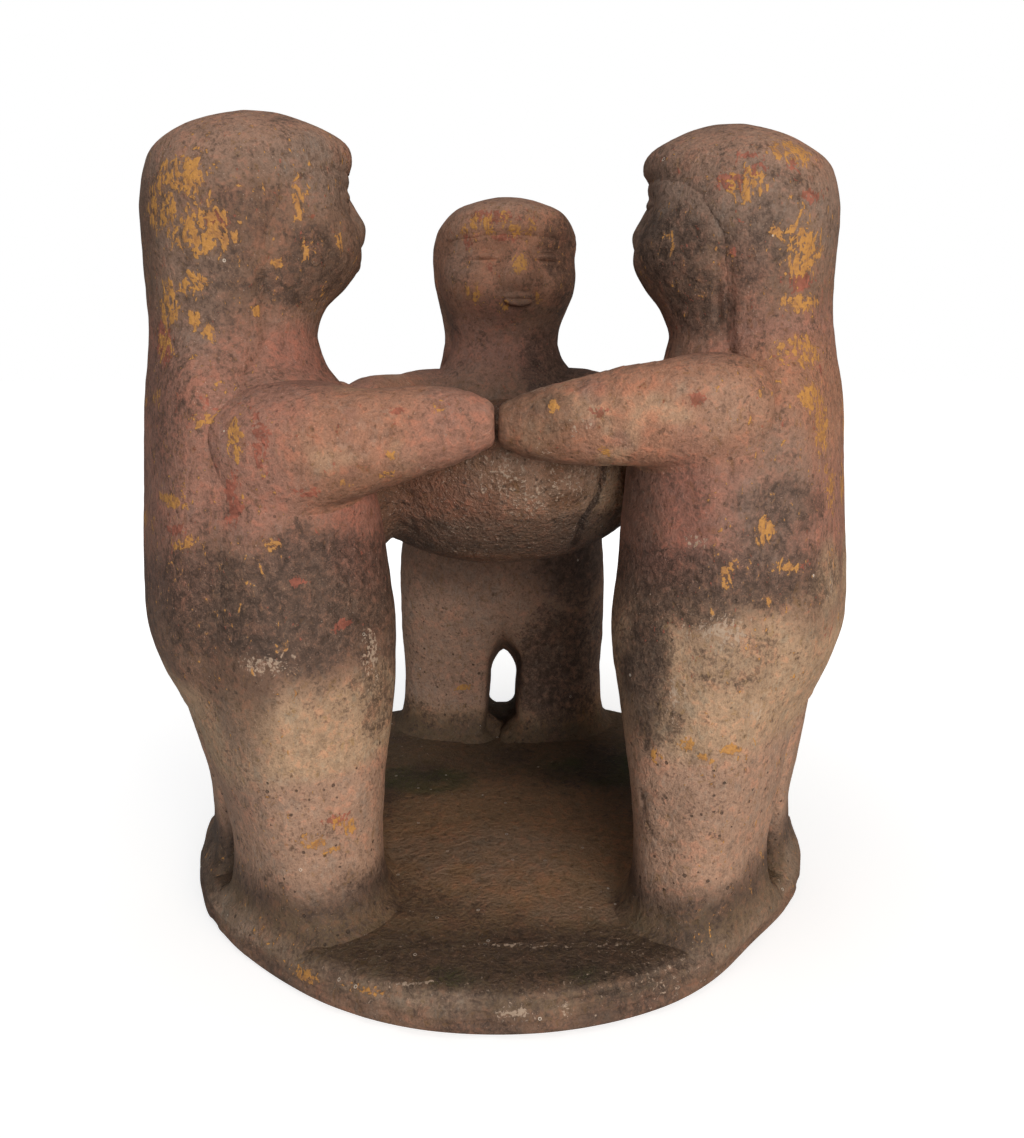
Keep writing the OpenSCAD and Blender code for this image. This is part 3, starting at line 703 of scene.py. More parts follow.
def body_roll(f):
    """Stations of a figure's body from under the slab's top to the shoulders."""
    b, d, t, c, s = f["back"], f["belly"], f["thigh"], f["calf"], f["shin"]
    w, hip, neck = HALF_W, HIP_Z, NECK_Z
    knee = SLAB_T + 40
    return roll_of_clay(
        [
            [SLAB_T - 4, -c - 3.0, s + 3.0, w + 4.0, 2.6],
            [SLAB_T + 3, -c - 1.2, s + 1.5, w + 2.0, 2.6],
            [SLAB_T + 10, -c, s, w + 0.5, 2.7],
            [SLAB_T + 20, -c, s, w - 0.3, 2.7],
            [knee - 11, -c - 1, s + 0.5, w - 0.3, 2.8],
            [knee, -part_way(c, b - 3.5, 0.6), part_way(s, t, 0.4), w, 2.8],
            [hip, -b + 3.5, t, w, 2.8],
            [hip + 12, -b + 1.5, part_way(t, d, 0.55), w, 2.7],
            [hip + 26, -b, d, w - 1, 2.6],
            [hip + 42, -b + 0.5, d - 1, w - 2.5, 2.5],
            [hip + 56, -b + 1.5, part_way(d, CHEST, 0.45), w - 3.5, 2.5],
            [neck - 28, -b + 3, part_way(d, CHEST, 0.8), w - 3.5, 2.4],
            [neck - 16, -b + 4, CHEST, w - 3.5, 2.3],
            [neck - 3.5, -b + 6, CHEST - 3, w - 5, 2.2],
        ],
        7.0,
        9.0,
    )


def body_clay(p, f):
    """Height above a figure's body: its roll, less the arch between the legs and the groove above it.
    The arch is a slot whose top falls from front to back and which leans a little; the groove is a
    bell curve across the middle."""
    x, y, z = p.T
    spring = ARCH_SPRING + (x - 8) * 0.42
    middle = -0.06 * (z - ARCH_SPRING) - 0.5
    half = ARCH_HALF + 1.2 * ease(8, 28, x)
    arch = half - np.hypot(y + middle, 0.75 * np.maximum(z - spring, 0))
    fades = ease(spring, spring + 8, z) * ease(GROOVE_TOP + 8, GROOVE_TOP - 10, z)
    groove = 2.2 * np.exp(-((y / 3.4) ** 2)) * fades
    return soft_max(f["roll"](p), arch, 4) + groove


def foot_share(p):
    """1 on the slab and 0 from some 12 mm above it: how far the slab's dirt has crept up the clay."""
    return ease(SLAB_T + 12, SLAB_T + 1, p[:, 2] + 3 * lumps(p, 8, 1))


def figure_tone(p, f):
    """Tone of a figure's clay: bands by height, wavy at their edges, with softer clouds of colour."""
    side = np.column_stack([p[:, 0], p[:, 1] if f["turn"] else np.abs(p[:, 1]), p[:, 2]])
    z = p[:, 2] + 4 * lumps(p, 15, 0) + 2 * lumps(p, 6, 1)
    height = [b[0] for b in f["bands"]]
    tone = np.column_stack([np.interp(z, height, [EARTHS[b[1]][k] for b in f["bands"]]) for k in range(3)])
    for colour, share, *where in f["clouds"]:
        tone = tint(tone, colour, share * cloud(side + 2.5 * lumps(p, 8, 2)[:, None], *where))
    foot = foot_share(p)
    return tone + (slab_tone(stand(p, f)) - tone) * foot[:, None]


def figure_stains(p, f):
    """Smoke, paint and rubbed places of a figure, the same on both its sides unless its head turns; the
    smoke stain also holds painted shade along the creases and over the back figure's shaded left half.
    """
    side = np.column_stack([p[:, 0], p[:, 1] if f["turn"] else np.abs(p[:, 1]), p[:, 2]])
    ragged = side + 1.1 * np.column_stack([lumps(p, 3.5, 0), np.zeros(len(p)), lumps(p, 3.5, 1)])
    soot_and_shade = 0.2 + 0.16 * lumps(p, 9, 0) + 0.14 * ease(NECK_Z - 20, NECK_Z + 10, p[:, 2])
    drift = side + 5 * lumps(p, 14, 3)[:, None] + 2 * lumps(p, 5, 1)[:, None]
    for strength, *where in f["soot_and_shade"]:
        soot_and_shade = np.maximum(soot_and_shade, strength * cloud(drift, *where))
    # Painted shade: every crease is darkened along its line through the soot stain.
    for line, width, depth in f["creases"]:
        soot_and_shade = np.maximum(soot_and_shade, scored(p, line, width * 1.2))
    soot_and_shade = np.maximum(soot_and_shade, 0.74 * ease(SLAB_T + 20, SLAB_T + 4, p[:, 2] + 4 * lumps(p, 12, 2)))
    foot = foot_share(p)
    soot_and_shade += (slab_soot(stand(p, f)) - soot_and_shade) * foot
    sparse = -0.42 - 0.5 * ease(-4, 12, p[:, 0]) * ease(12, 2, p[:, 2] - NECK_Z)
    return {
        "soot_and_shade": soot_and_shade,
        "ochre": np.maximum(patch(ragged, f["ochre"], 0.06), sparse),
        "red": np.maximum(patch(ragged, f["red"]), -0.38 - 0.4 * ease(HIP_Z + 30, HIP_Z, p[:, 2])),
        "pale": 0.05 + 0.8 * np.maximum(patch(side, f["pale"]), 0),
    }


def figure_finish(f, local):
    """Finish of a figure's piece, worked out in the figure's own axes."""
    return lambda p: (figure_tone(local, f), figure_stains(local, f))


def rays(spine, along, across, up, tilt, around):
    """Rays from the points of a spine: round the direction `along` it, in the plane of `across` and
    `up`, and tilted by `tilt` towards it."""
    turn = np.linspace(0, 2 * math.pi, around, endpoint=False)[None, :, None]
    flat = np.cos(turn) * across[:, None] + np.sin(turn) * up[:, None]
    tilt = tilt[:, None, None]
    aim = np.cos(tilt) * flat + np.sin(tilt) * along[:, None]
    return np.repeat(spine[:, None], around, 1), aim


def fan_tilt(below, level, above):
    """Tilts of a row of rays: fanned round the first point, square to the spine, and fanned round the
    last point."""
    first = np.linspace(-QUARTER, 0, below, endpoint=False)
    return np.concatenate([first, np.zeros(level), np.linspace(0, QUARTER, above + 1)[1:]])


def upright_rays(foot, crown, below, level, above, around, stops=()):
    """Rays for an upright piece: a fan below its spine's foot, level rays up the spine, and a fan
    above its crown, with `below`, `level` and `above` rings. A fan of no rings leaves that end open
    for a cut, and `stops` are more shares of the spine with a ring."""
    below, level, above, around = (int(v * FINE) for v in (below, level, above, around))
    foot, crown = np.array(foot, float), np.array(crown, float)
    shares = np.sort(np.concatenate([np.linspace(0, 1, level), stops]))
    share = np.concatenate([np.zeros(below), shares, np.ones(above)])
    tilt = fan_tilt(below, len(shares), above)
    spine = foot + (crown - foot) * share[:, None]
    axes = [np.tile(np.eye(3)[k], (len(spine), 1)) for k in (2, 0, 1)]
    return rays(spine, *axes, tilt, around)


def cut_face(ring):
    """Flat face over a level cut: the last ring drawn in by half, then to its middle."""
    middle = ring.mean(0)
    return np.stack([middle + 0 * ring, middle + 0.5 * (ring - middle)])


def model_piece(f, height, start, aim, uneven=1.0):
    """Rows of a figure's piece in its own axes: the rays settled on the clay, and lifted by its
    unevenness less its creases."""

    def relief(p):
        step = uneven * worked(stand(p, f))
        for line, width, depth in f["creases"]:
            step -= depth * scored(p, line, width)
        return step

    return settle(height, start.reshape(-1, 3), aim.reshape(-1, 3), relief).reshape(start.shape)


def closed(f, rows):
    """Skin through rows given in a figure's own axes, and its points in those axes."""
    flat = np.vstack([rows[0].mean(0), rows[1:-1].reshape(-1, 3), rows[-1].mean(0)])
    return skin(stand(rows.reshape(-1, 3), f).reshape(rows.shape)), flat


def make_piece(name, f, parts, material, slot, *nodes):
    """Lays up a figure's piece from its closed parts, with the figure's tones and stains."""
    local = np.vstack([flat for _, flat in parts])
    lay_up(name, [shape for shape, _ in parts], figure_finish(f, local), material, slot, *nodes)


body_material = clay_material("body_clay", 0.35, 0.5, 0.0, 0.55)
leg_material = clay_material("leg_clay", 0.45, 0.9, 0.0, 0.6)
# Crumbs of clay left between the back figure's feet
CRUMBS = [(17, -4, 12, 4.5), (21, 6, 12, 5), (12, 2, 11, 4), (25, 1, 11, 3.5)]


def leg_height(f, side):
    """Height above one leg: the body on that side of the middle, smeared out on the slab."""

    def height(p):
        own = body_clay(p, f)
        if f["turn"]:
            for x, y, z, r in CRUMBS:
                far = np.sqrt((p[:, 0] - x) ** 2 + (p[:, 1] - y) ** 2 + (p[:, 2] - z) ** 2)
                own = soft_min(own, far - r, 2.5)
        return lute(own, (slab_clay(stand(p, f)), 4.0)) + 1.5 * np.maximum(0, -side * p[:, 1] - 0.15)

    return height


# The last ring but one lies this share of the spine from a cut, to keep the cut's edge sharp
SLIVER = 0.002
for name, f in FIGURES.items():
    f["roll"] = body_roll(f)
    for side, which in ((1, "left_leg"), (-1, "right_leg")):
        foot, hip = (6, 22 * side, SLAB_T + 8), (7, 21 * side, HIP_Z)
        start, aim = upright_rays(foot, hip, 26, 70, 0, 170, [1 - SLIVER])
        rows = model_piece(f, leg_height(f, side), start, aim)
        part = closed(f, np.concatenate([rows, cut_face(rows[-1])[::-1]]))
        make_piece(f"{name}_{which}_clay", f, [part], leg_material, "leg_clay", f"{name}_{which}")
    start, aim = upright_rays((6, 0, HIP_Z), (5, 0, NECK_Z - 24), 0, 100, 50, 270, [SLIVER])
    rows = model_piece(f, lambda p: body_clay(p, f), start, aim)
    part = closed(f, np.concatenate([cut_face(rows[0]), rows]))
    make_piece(f"{name}_torso_clay", f, [part], body_material, "body_clay", f"{name}_torso")


# ------------------------------------------------------------------ the bowl
# A thick pinched bowl, left rough outside, pressed between the three chests and luted to them. It is
# cracked on the side towards the right-hand figure.

WALL = 7.0
CRACK = [(29.5, 0, 146), (29, 0, 132), (28.4, 0, 128), (28.1, 0, 126), (27.2, 0, 123), (25.8, 0, 120.7),
         (24.6, 0, 118.3), (23.3, 0, 116.2), (23.1, 0, 113), (22.6, 0, 109.8), (21, 0, 106)]


def bowl_wall_middle():
    """Points down the middle of the wall, rim first: a round bottom under a nearly upright side."""
    a = np.radians(np.linspace(90, 0, 16))
    inset = WALL / 2
    deep = RIM_Z - BOWL_Z - 2 * inset
    z = BOWL_Z + inset + deep * (1 - np.cos(a) ** 0.9)
    return np.column_stack([(BOWL_R - inset) * np.sin(a) ** 0.8, z])


def bowl_clay(p):
    """Height above the bowl: the distance to the middle of its wall, less half the wall."""
    q = np.column_stack([np.hypot(p[:, 0], p[:, 1]), p[:, 2]])
    line = bowl_wall_middle()
    near = np.full(len(p), 1e9)
    for a, b in zip(line[:-1], line[1:]):
        along = b - a
        t = np.clip((q - a) @ along / (along @ along), 0, 1)
        near = np.minimum(near, ((q - a - t[:, None] * along) ** 2).sum(1))
    return np.sqrt(near) - WALL / 2


def unstand(p, f):
    """From the slab's axes back to a figure's own."""
    a = math.radians(f["stands"])
    x = p[:, 0] * math.cos(a) + p[:, 1] * math.sin(a)
    y = -p[:, 0] * math.sin(a) + p[:, 1] * math.cos(a)
    return np.stack([STAND_R - x, -y, p[:, 2]], 1)


def luted_bowl(p):
    """Height above the bowl smoothed onto the chests: widely on the left figure, hardly on the right."""
    chests = []
    for name, blend in (("left_figure", 12.0), ("right_figure", 1.2), ("back_figure", 4.0)):
        f = FIGURES[name]
        chests.append((body_clay(unstand(p, f), f), blend))
    return lute(bowl_clay(p), *chests)


def bowl_crack(p, width):
    """1 on the crack, which shows in front from the rim to the bottom, and 0 away from it."""
    flat = p * np.array([1.0, 0.0, 1.0]) + 0.5 * lumps(p, 2.2, 0)[:, None]
    return scored(flat, CRACK, width) * (p[:, 1] < -12)


def belly_joint(p):
    """1 along the open joint between the bowl and the right-hand figure's belly, 0 away from it."""
    f = FIGURES["right_figure"]
    return ease(2.2, 0.5, body_clay(unstand(p, f), f) + 0.5 * lumps(p, 4, 1))


def pinch_bowl():
    """The bowl's grid: rays from the middle of its wall, square to it outside, fanned over the rim
    and square to it inside."""
    line = bowl_wall_middle()[::-1]
    reach = np.concatenate([[0], np.cumsum(np.hypot(*np.diff(line, axis=0).T))])
    count = int(74 * FINE)
    u = np.linspace(0, reach[-1], count)
    r, z = np.interp(u, reach, line[:, 0]), np.interp(u, reach, line[:, 1])
    slope = np.arctan2(np.gradient(z, u), np.gradient(r, u))
    slope[0] = 0.0
    fan = np.linspace(0, math.pi, int(24 * FINE))[1:-1]
    lean = np.concatenate([slope - QUARTER, slope[-1] - QUARTER + fan, slope[::-1] + QUARTER])
    r, z = (np.concatenate([v, np.full(len(fan), v[-1]), v[::-1]]) for v in (r, z))
    start, aim = turned_rays(r, z, lean, int(500 * FINE), math.radians(-55))

    def relief(p):
        step = worked(p, 1.2) + 0.14 * lumps(p, 1.8, 2) - 0.30 * ease(0.25, 0.75, lumps(p, 3.2, 1))
        return step - 1.8 * bowl_crack(p, 0.75) - 1.0 * belly_joint(p)

    return skin(settle(luted_bowl, start.reshape(-1, 3), aim.reshape(-1, 3), relief).reshape(start.shape))


def bowl_finish(p):
    """Red-brown crust on the left, buff clay wiped bare in front and on the right, brightened there as
    painted light, painted shade along the crack and the bowl's joint with the right-hand figure, dark
    inside.
    """
    tone = np.tile(np.array(EARTHS["crust"]), (len(p), 1))
    tone = tint(tone, "shin", 0.55 * cloud(p, 16, -48, 130, 24, 18, 13) * ease(-0.8, 0.3, lumps(p, 6, 1)))
    # Partly painted light: the buff cloud on the right is real bare clay, made brighter to stand in for
    # light that the right-hand figure blocks.
    tone = tint(tone, "buff", 0.8 * cloud(p, 35, -34, 122, 12, 16, 18))
    tone = tint(tone, "brick", 0.3 * cloud(p, -14, -46, 118, 18, 14, 16))
    inside = ease(BOWL_R - 4, BOWL_R - 7, np.hypot(p[:, 0], p[:, 1])) * ease(BOWL_Z + 5, BOWL_Z + 9, p[:, 2])
    # Painted light: the right side, which the right-hand figure shades, is made up to half again as bright.
    tone = tint(tone, "umber", 0.8 * inside) * (1 + 0.5 * cloud(p, 38, -32, 120, 12, 14, 18))[:, None]
    # Painted shade: the crack and the joint with the right-hand figure's belly are darkened through the soot
    # stain.
    crack_and_joint_shade = np.maximum(2.0 * bowl_crack(p, 0.7), 0.8 * belly_joint(p))
    smoke = np.maximum(0.2 + 0.3 * lumps(p, 10, 0), 0.45 * cloud(p, -34, -34, 118, 16, 16, 20))
    return tone, {
        "soot_and_shade": np.maximum(smoke, crack_and_joint_shade),
        "ochre": np.full(len(p), -1.0),
        "red": np.full(len(p), -1.0),
        "pale": 0.12 + 0.3 * lumps(p, 7, 3) + 0.2 * cloud(p, 14, -50, 131, 20, 16, 10),
    }


bowl_material = clay_material("bowl_clay", 0.15, 0.8, 0.9, 0.9)
lay_up("bowl_clay_piece", [pinch_bowl()], bowl_finish, bowl_material, "bowl_clay", "bowl")


# ------------------------------------------------------------------ the arms
# Rolls of salmon clay, thick at the shoulder and thinned to a blunt hand, smoothed into the shoulders
# and laid outside the bowl's rim. Each hand butts against the neighbour's, with the joint left open.

arm_material = clay_material("arm_clay", 0.1, 0.35, 0.1, 0.6)
SHOULDER_DEEP, HAND = 27.0, (15.0, 10.0)
HAND_R = BOWL_R + 0.5 + HAND[0] / 2
HAND_TURN = math.radians(60)
TAPER = [0.2, 0.05, 0, 0, 0.04, 0.1, 0.2, 0.3, 0.42, 0.6, 1]


def arm_route(f, side, count):
    """Points, directions and thicknesses along an arm: a Bezier curve out of the shoulder that ends
    square to the plane where it meets the next hand."""
    hand = np.array([STAND_R - HAND_R * math.cos(HAND_TURN), HAND_R * math.sin(HAND_TURN), RIM_Z])
    along = np.array([math.sin(HAND_TURN), math.cos(HAND_TURN), 0])
    top = NECK_Z - f["drop"]
    a, b = np.array([-4, HALF_W - 20, top]), np.array([8, HALF_W - 6, top])
    c, d = hand - 24 * along, hand - 0.1 * along
    t = np.linspace(0, 1, count)[:, None]
    p = (1 - t) ** 3 * a + 3 * t * (1 - t) ** 2 * b + 3 * t * t * (1 - t) * c + t**3 * d
    go = (1 - t) ** 2 * (b - a) + 2 * t * (1 - t) * (c - b) + t * t * (d - c)
    go[:, 2] = 0
    go /= np.linalg.norm(go, axis=1, keepdims=True)
    thin = np.interp(t[:, 0], np.linspace(0, 1, len(TAPER)), TAPER)
    thin = np.convolve(np.pad(thin, 4, mode="edge"), np.ones(9) / 9, "valid")
    wide = SHOULDER_DEEP + (HAND[0] - SHOULDER_DEEP) * thin
    high = f["arm"] + (HAND[1] - f["arm"]) * thin
    for v in (p, go):
        v[:, 1] *= side
    return p, go, wide / 2, high / 2


def arm_clay(p, route):
    """Height above an arm: from the nearest point of its route, the distance to a squared ellipse
    across it, with its two ends rounded."""
    at, go, wide, high = route
    near = ((p[:, None, :2] - at[None, :, :2]) ** 2).sum(2).argmin(1)
    q = p - at[near]
    out = q[:, 0] * go[near, 1] - q[:, 1] * go[near, 0]
    share = ((np.abs(out) / wide[near]) ** 2.2 + (np.abs(q[:, 2]) / high[near]) ** 2.2) ** (1 / 2.2)
    side = np.hypot(out, q[:, 2]) * (1 - 1 / np.maximum(share, 1e-3))
    past, before = (p - at[-1]) @ go[-1], (at[0] - p) @ go[0]
    return soft_max(soft_max(side, past, 2.2), before, 4)


def arm_height(f, route):
    """Height above an arm, smoothed into the shoulder above its middle and undercut below."""
    middle = route[0][0, 2]

    def height(p):
        smear = 2.0 + 8.0 * ease(middle - 6, middle + 9, p[:, 2])
        return lute(arm_clay(p, route), (body_clay(p, f), smear), (bowl_clay(stand(p, f)), 1.2))

    return height


def arm_finish(f, name, local):
    """Salmon clay with bare buff rubbed through, rosy towards the hand, small yellow dabs, and painted shade
    towards the underside.
    """

    def finish(p):
        tone, stains = figure_tone(local, f), figure_stains(local, f)
        reach = np.abs(local[:, 1]) + 0.5 * local[:, 0]
        on_arm = ease(36, 50, reach + 3 * lumps(p, 9, 1))
        tone = tint(tone, "salmon", 0.85 * on_arm)
        tone = tint(tone, "buff", 0.6 * on_arm * ease(0.0, 0.7, lumps(p, 10, 2) + 0.5 * lumps(p, 3.5, 0)))
        tone = tint(tone, "rose", 0.6 * on_arm * ease(0.1, 0.7, lumps(p, 7, 3) + 0.5 * lumps(p, 3, 1)))
        tip = ease(62, 72, reach)
        tone = tint(tone, "crust" if name == "right_figure" else "rose", 0.75 * tip)
        # Painted shade: the arm is darkened with the crust tone towards its underside, below the bowl's rim.
        under = ease(RIM_Z - 4, RIM_Z - 14, local[:, 2]) * on_arm
        tone = tint(tone, "crust", 0.5 * under)
        dabs = [(33, 54, 150, 1.8, 5, 1.8), (22, 51, 139, 1.8, 5, 1.6), (21, 48, 134, 2.4, 5, 1.2),
                (12, 49, 132, 3, 5, 1.4)]
        arm_side = np.column_stack([local[:, 0], np.abs(local[:, 1]), local[:, 2]])
        stains["ochre"] = np.maximum(stains["ochre"] - 0.3 * on_arm, patch(arm_side, dabs, 0.2))
        reds = [(23, 51, 149, 3, 5, 1.4), (8, 50, 136, 4, 5, 1.6), (15, 50, 128, 4, 5, 1.2),
                (2, 44, 152, 3, 5, 2)]
        stains["red"] = np.maximum(stains["red"], patch(arm_side, reds, 0.15))
        thin_smoke = 0.26 * on_arm * ease(0, 0.8, lumps(p, 8, 0))
        stains["soot_and_shade"] = np.maximum(stains["soot_and_shade"] * (1 - 0.7 * on_arm), thin_smoke)
        stains["pale"] = np.maximum(stains["pale"], on_arm * 0.55 * ease(0.2, 0.9, lumps(p, 9, 3)))
        return tone, stains

    return finish


# Points along a route, and the first and last of them that send out rays
ROUTE, ROOT, TIP = 90, 8, 83
for name, f in FIGURES.items():
    for side, which in ((1, "left_arm"), (-1, "right_arm")):
        route = arm_route(f, side, ROUTE)
        level, fan = int(90 * FINE), int(16 * FINE)
        even = np.linspace(ROOT, TIP, level)
        pick = even.round().astype(int)
        order = np.concatenate([np.full(fan, ROOT), pick, np.full(fan, TIP)])
        at, go = route[0][order], route[1][order]
        for k in range(3):
            at[fan : fan + level, k] = np.interp(even, np.arange(ROUTE), route[0][:, k])
        across = np.column_stack([go[:, 1], -go[:, 0], 0 * go[:, 0]])
        up = np.tile([0.0, 0.0, 1.0], (len(go), 1))
        start, aim = rays(at, go, across, up, fan_tilt(fan, level, fan), int(120 * FINE))
        part, flat = closed(f, model_piece(f, arm_height(f, route), start, aim, 1.2))
        finish, node = arm_finish(f, name, flat), f"{name}_{which}"
        lay_up(f"{node}_clay", [part], finish, arm_material, "arm_clay", node)


# ----------------------------------------------------------------- the heads
# A block of clay on a thick neck, with pinched eye hollows. Over it lies a cap of clay for the hair,
# brimmed over the forehead and running down the back, and the nose, lids and lips are put on last.

face_material = clay_material("face_clay", 0.25, 0.3, 0.0, 0.5)
hair_material = clay_material("painted_hair_clay", 0.5, 0.3, 0.1, 0.55)
HEAD_HALF, NECK_HALF = 24.5, 20.5
FACE = CHEST + 3
EYE_IN, CHEEK_AT, BROW_AT = 2.7, 0.53, 0.66
EYES_UP, EYE_OUT, MOUTH_DOWN = 5, 12.0, 8.5
HAIR = 5.0
HAIR_END = SLAB_T + 65


def turned(p, degrees):
    """Points turned about the figure's upright axis by some degrees to its right, which looks at
    them from a head turned to its left."""
    c, s = np.cos(np.radians(degrees)), np.sin(np.radians(degrees))
    return np.stack([p[:, 0] * c + p[:, 1] * s, p[:, 1] * c - p[:, 0] * s, p[:, 2]], 1)


def head_roll(f):
    """The neck and head: a thick neck, the chin, cheeks and brow standing out before it, a low crown."""
    z, h, b, w, n = NECK_Z, f["skull"], f["back"], HEAD_HALF, NECK_HALF
    return roll_of_clay(
        [
            [z - 14, -b + 8, f["neck"] + 1, n + 2, 2.2],
            [z, -b + 9, f["neck"], n + 0.5, 2.2],
            [z + 0.10 * h, -b + 9, f["neck"] - 0.6, n, 2.2],
            [z + 0.21 * h, -b + 9, f["neck"] + 2, n + 0.8, 2.2],
            [z + 0.31 * h, -b + 8.5, CHEST + 1.2 + f["chin"], w - 1.6, 2.2],
            [z + 0.42 * h, -b + 8, FACE + 0.4, w + 0.2, 2.3],
            [z + CHEEK_AT * h, -b + 7.5, FACE, w + 1.1, 2.35],
            [z + BROW_AT * h, -b + 7.7, FACE - EYE_IN, w + 1.1, 2.3],
            [z + 0.77 * h, -b + 8.4, FACE - 1.6, w - 0.2, 2.3],
            [z + 0.84 * h, -b + 9.5, CHEST + 0.3, w - 1.5, 2.25],
            [z + 0.93 * h, -b + 13, CHEST - 4, w - 7, 2.2],
        ],
        4.0,
        8.0,
    )


def head_clay(p, f):
    """Height above the neck and head: their roll, with a shallow hollow round each eye and a faint
    dip on either side of the nose."""
    q = turned(p, f["turn"])
    eye_z = NECK_Z + f["nose"] + EYES_UP
    side = np.abs(q[:, 1])
    front = ease(16, 26, q[:, 0])
    hollow = 1.5 * np.exp(-(((side - 12.5) / 8) ** 2) - ((q[:, 2] - eye_z - 0.5) / 5) ** 2)
    dip = 0.7 * np.exp(-(((side - 8.5) / 3.5) ** 2) - ((q[:, 2] - eye_z + 6) / 6) ** 2)
    return f["head"](q) + front * (hollow + dip)


def hair_roll(f):
    """The hair: a flap down the back that widens over the skull and juts out over the forehead."""
    z, h, b, w, n = NECK_Z, f["skull"], f["back"] + HAIR, HEAD_HALF + 1.4, NECK_HALF + 1.5
    end, g = HAIR_END, f["hair_in"]
    return roll_of_clay(
        [
            [end - 6, -b + 7.5, -12, 14, 2.5],
            [end + 4, -b + 2.5, -11, 21, 2.5],
            [end + 18, -b, -10, 24, 2.5],
            [end + 0.55 * (z - end), -b + 2 + 0.3 * g, -6, 25, 2.5],
            [z - 12, -b + 4.5 + 0.4 * g, -3, n + 4, 2.5],
            [z, -b + 6 + 0.5 * g, 8, n + 1, 2.4],
            [z + 0.14 * h, -b + 6.5 + 0.7 * g, 16, n, 2.3],
            [z + 0.32 * h, -b + 6.7 + g, 24, w - 2.5, 2.3],
            [z + 0.52 * h, -b + 6.8 + g, 30, w - 0.3, 2.3],
            [z + 0.70 * h, -b + 7.4 + g, CHEST, w, 2.3],
            [z + 0.84 * h, -b + 9.5 + g, CHEST + 2, w - 1.4, 2.25],
            [z + 0.94 * h, -b + 12.5 + g, CHEST + 3.2, w - 3.5, 2.3],
            [z + h + 3.2, -b + 16 + g, CHEST + 0.5, w - 6, 2.3],
        ],
        f["dome"],
        4.5,
        2.0,
    )


def hair_clay(p, f):
    """Height above the hair: its roll, turning with the head above the neck, cut back in front to
    the line that leaves the face and the neck open under the brim."""
    z, h = NECK_Z, f["skull"]
    q = turned(p, f["turn"] * ease(z - 14, z + 6, p[:, 2]))
    open_z = [z - 60, z + 0.5 * h, z + 0.68 * h, z + 0.79 * h, z + 0.845 * h]
    open_x = [1, 1, 6, 15, 62]
    line = np.interp(q[:, 2], open_z, open_x)
    lean_z = [z + 0.5 * h, z + 0.6 * h, z + 0.74 * h, z + 0.79 * h, z + 0.81 * h]
    lean = np.interp(q[:, 2], lean_z, [0, 0.8, 1.5, 6, 16])
    opening = (q[:, 0] - line) / np.sqrt(1 + lean**2)
    return soft_max(f["hair"](q), opening, 2.4)


def hair_height(f):
    """Height above the hair, smoothed onto the head, and onto the back more towards its lower end."""

    def height(p):
        own = hair_clay(p, f)
        low = ease(NECK_Z + 4, NECK_Z - 12, p[:, 2])
        brim = 6.0 if f["turn"] else 2.2
        return lute(own, (head_clay(p, f), brim), (body_clay(p, f), 1.5 + 5.0 * low))

    return height


def cheek(y, front):
    """How far the face stands before the spine line where it stands `front` before it in the middle:
    a squared ellipse across the head."""
    back = -14.5
    round_off = 1 - np.clip(np.abs(y) / (HEAD_HALF - 0.5), 0, 0.97) ** 2.4
    return (back + front) / 2 + (front - back) / 2 * round_off ** (1 / 2.4)


def roll_height(f, y, z, front, half, thick, proud, lift):
    """Height above a small roll laid on the face and smoothed on: a tapered bead along a line that
    follows the cheek and lifts or drops towards its ends."""

    def height(p):
        q = turned(p, f["turn"])
        t = np.clip((q[:, 1] - y) / half, -1, 1)
        x = cheek(y + half * t, front)
        size = np.sqrt(1 - 0.75 * t * t)
        past = np.maximum(np.abs(q[:, 1] - y) - half, 0)
        bead = np.sqrt(((q[:, 0] - x) / proud) ** 2 + ((q[:, 2] - z - lift * t * t) / (thick / 2)) ** 2)
        own = (bead - size) * min(proud, thick / 2) + past
        return lute(own, (head_clay(p, f), 2.0))

    return height


def face_roll(f, y, z, front, half, thick, proud, lift):
    """One such roll as a closed part: rays from a line just under it, fanned round both its ends."""
    count, around = int(52 * FINE), int(44 * FINE)
    t = np.linspace(-0.86, 0.86, count)
    spine_y = y + half * t
    spine = np.column_stack([cheek(spine_y, front) - 0.4, spine_y, z + lift * t * t])
    fan = int(10 * FINE)
    order = np.concatenate([np.zeros(fan, int), np.arange(count), np.full(fan, count - 1)])
    axes = [np.tile(v, (len(order), 1)) for v in ([0.0, 1, 0], [1.0, 0, 0], [0.0, 0, 1])]
    start, aim = rays(spine[order], *axes, fan_tilt(fan, count, fan), around)
    start, aim = (turned(v.reshape(-1, 3), -f["turn"]).reshape(v.shape) for v in (start, aim))
    height = roll_height(f, y, z, front, half, thick, proud, lift)
    return closed(f, model_piece(f, height, start, aim, 0.9))


def nose_height(f):
    """Height above the nose: a small wedge of clay, widest at its tip, smoothed onto the face."""
    z = NECK_Z + f["nose"]
    own_roll = roll_of_clay(
        [
            [z - 5.5, 24, CHEST + 4.8, 6.0, 2],
            [z - 2.5, 24, CHEST + 6.2, 7.4, 2],
            [z + 1, 24, CHEST + 6.6, 6.8, 2],
            [z + 5, 24, CHEST + 4.6, 5.0, 2],
            [z + 10, 24, CHEST + 1.6, 4.0, 2],
        ],
        1.0,
        3.0,
        3.0,
    )

    def height(p):
        return lute(own_roll(turned(p, f["turn"])), (head_clay(p, f), 3.0))

    return height


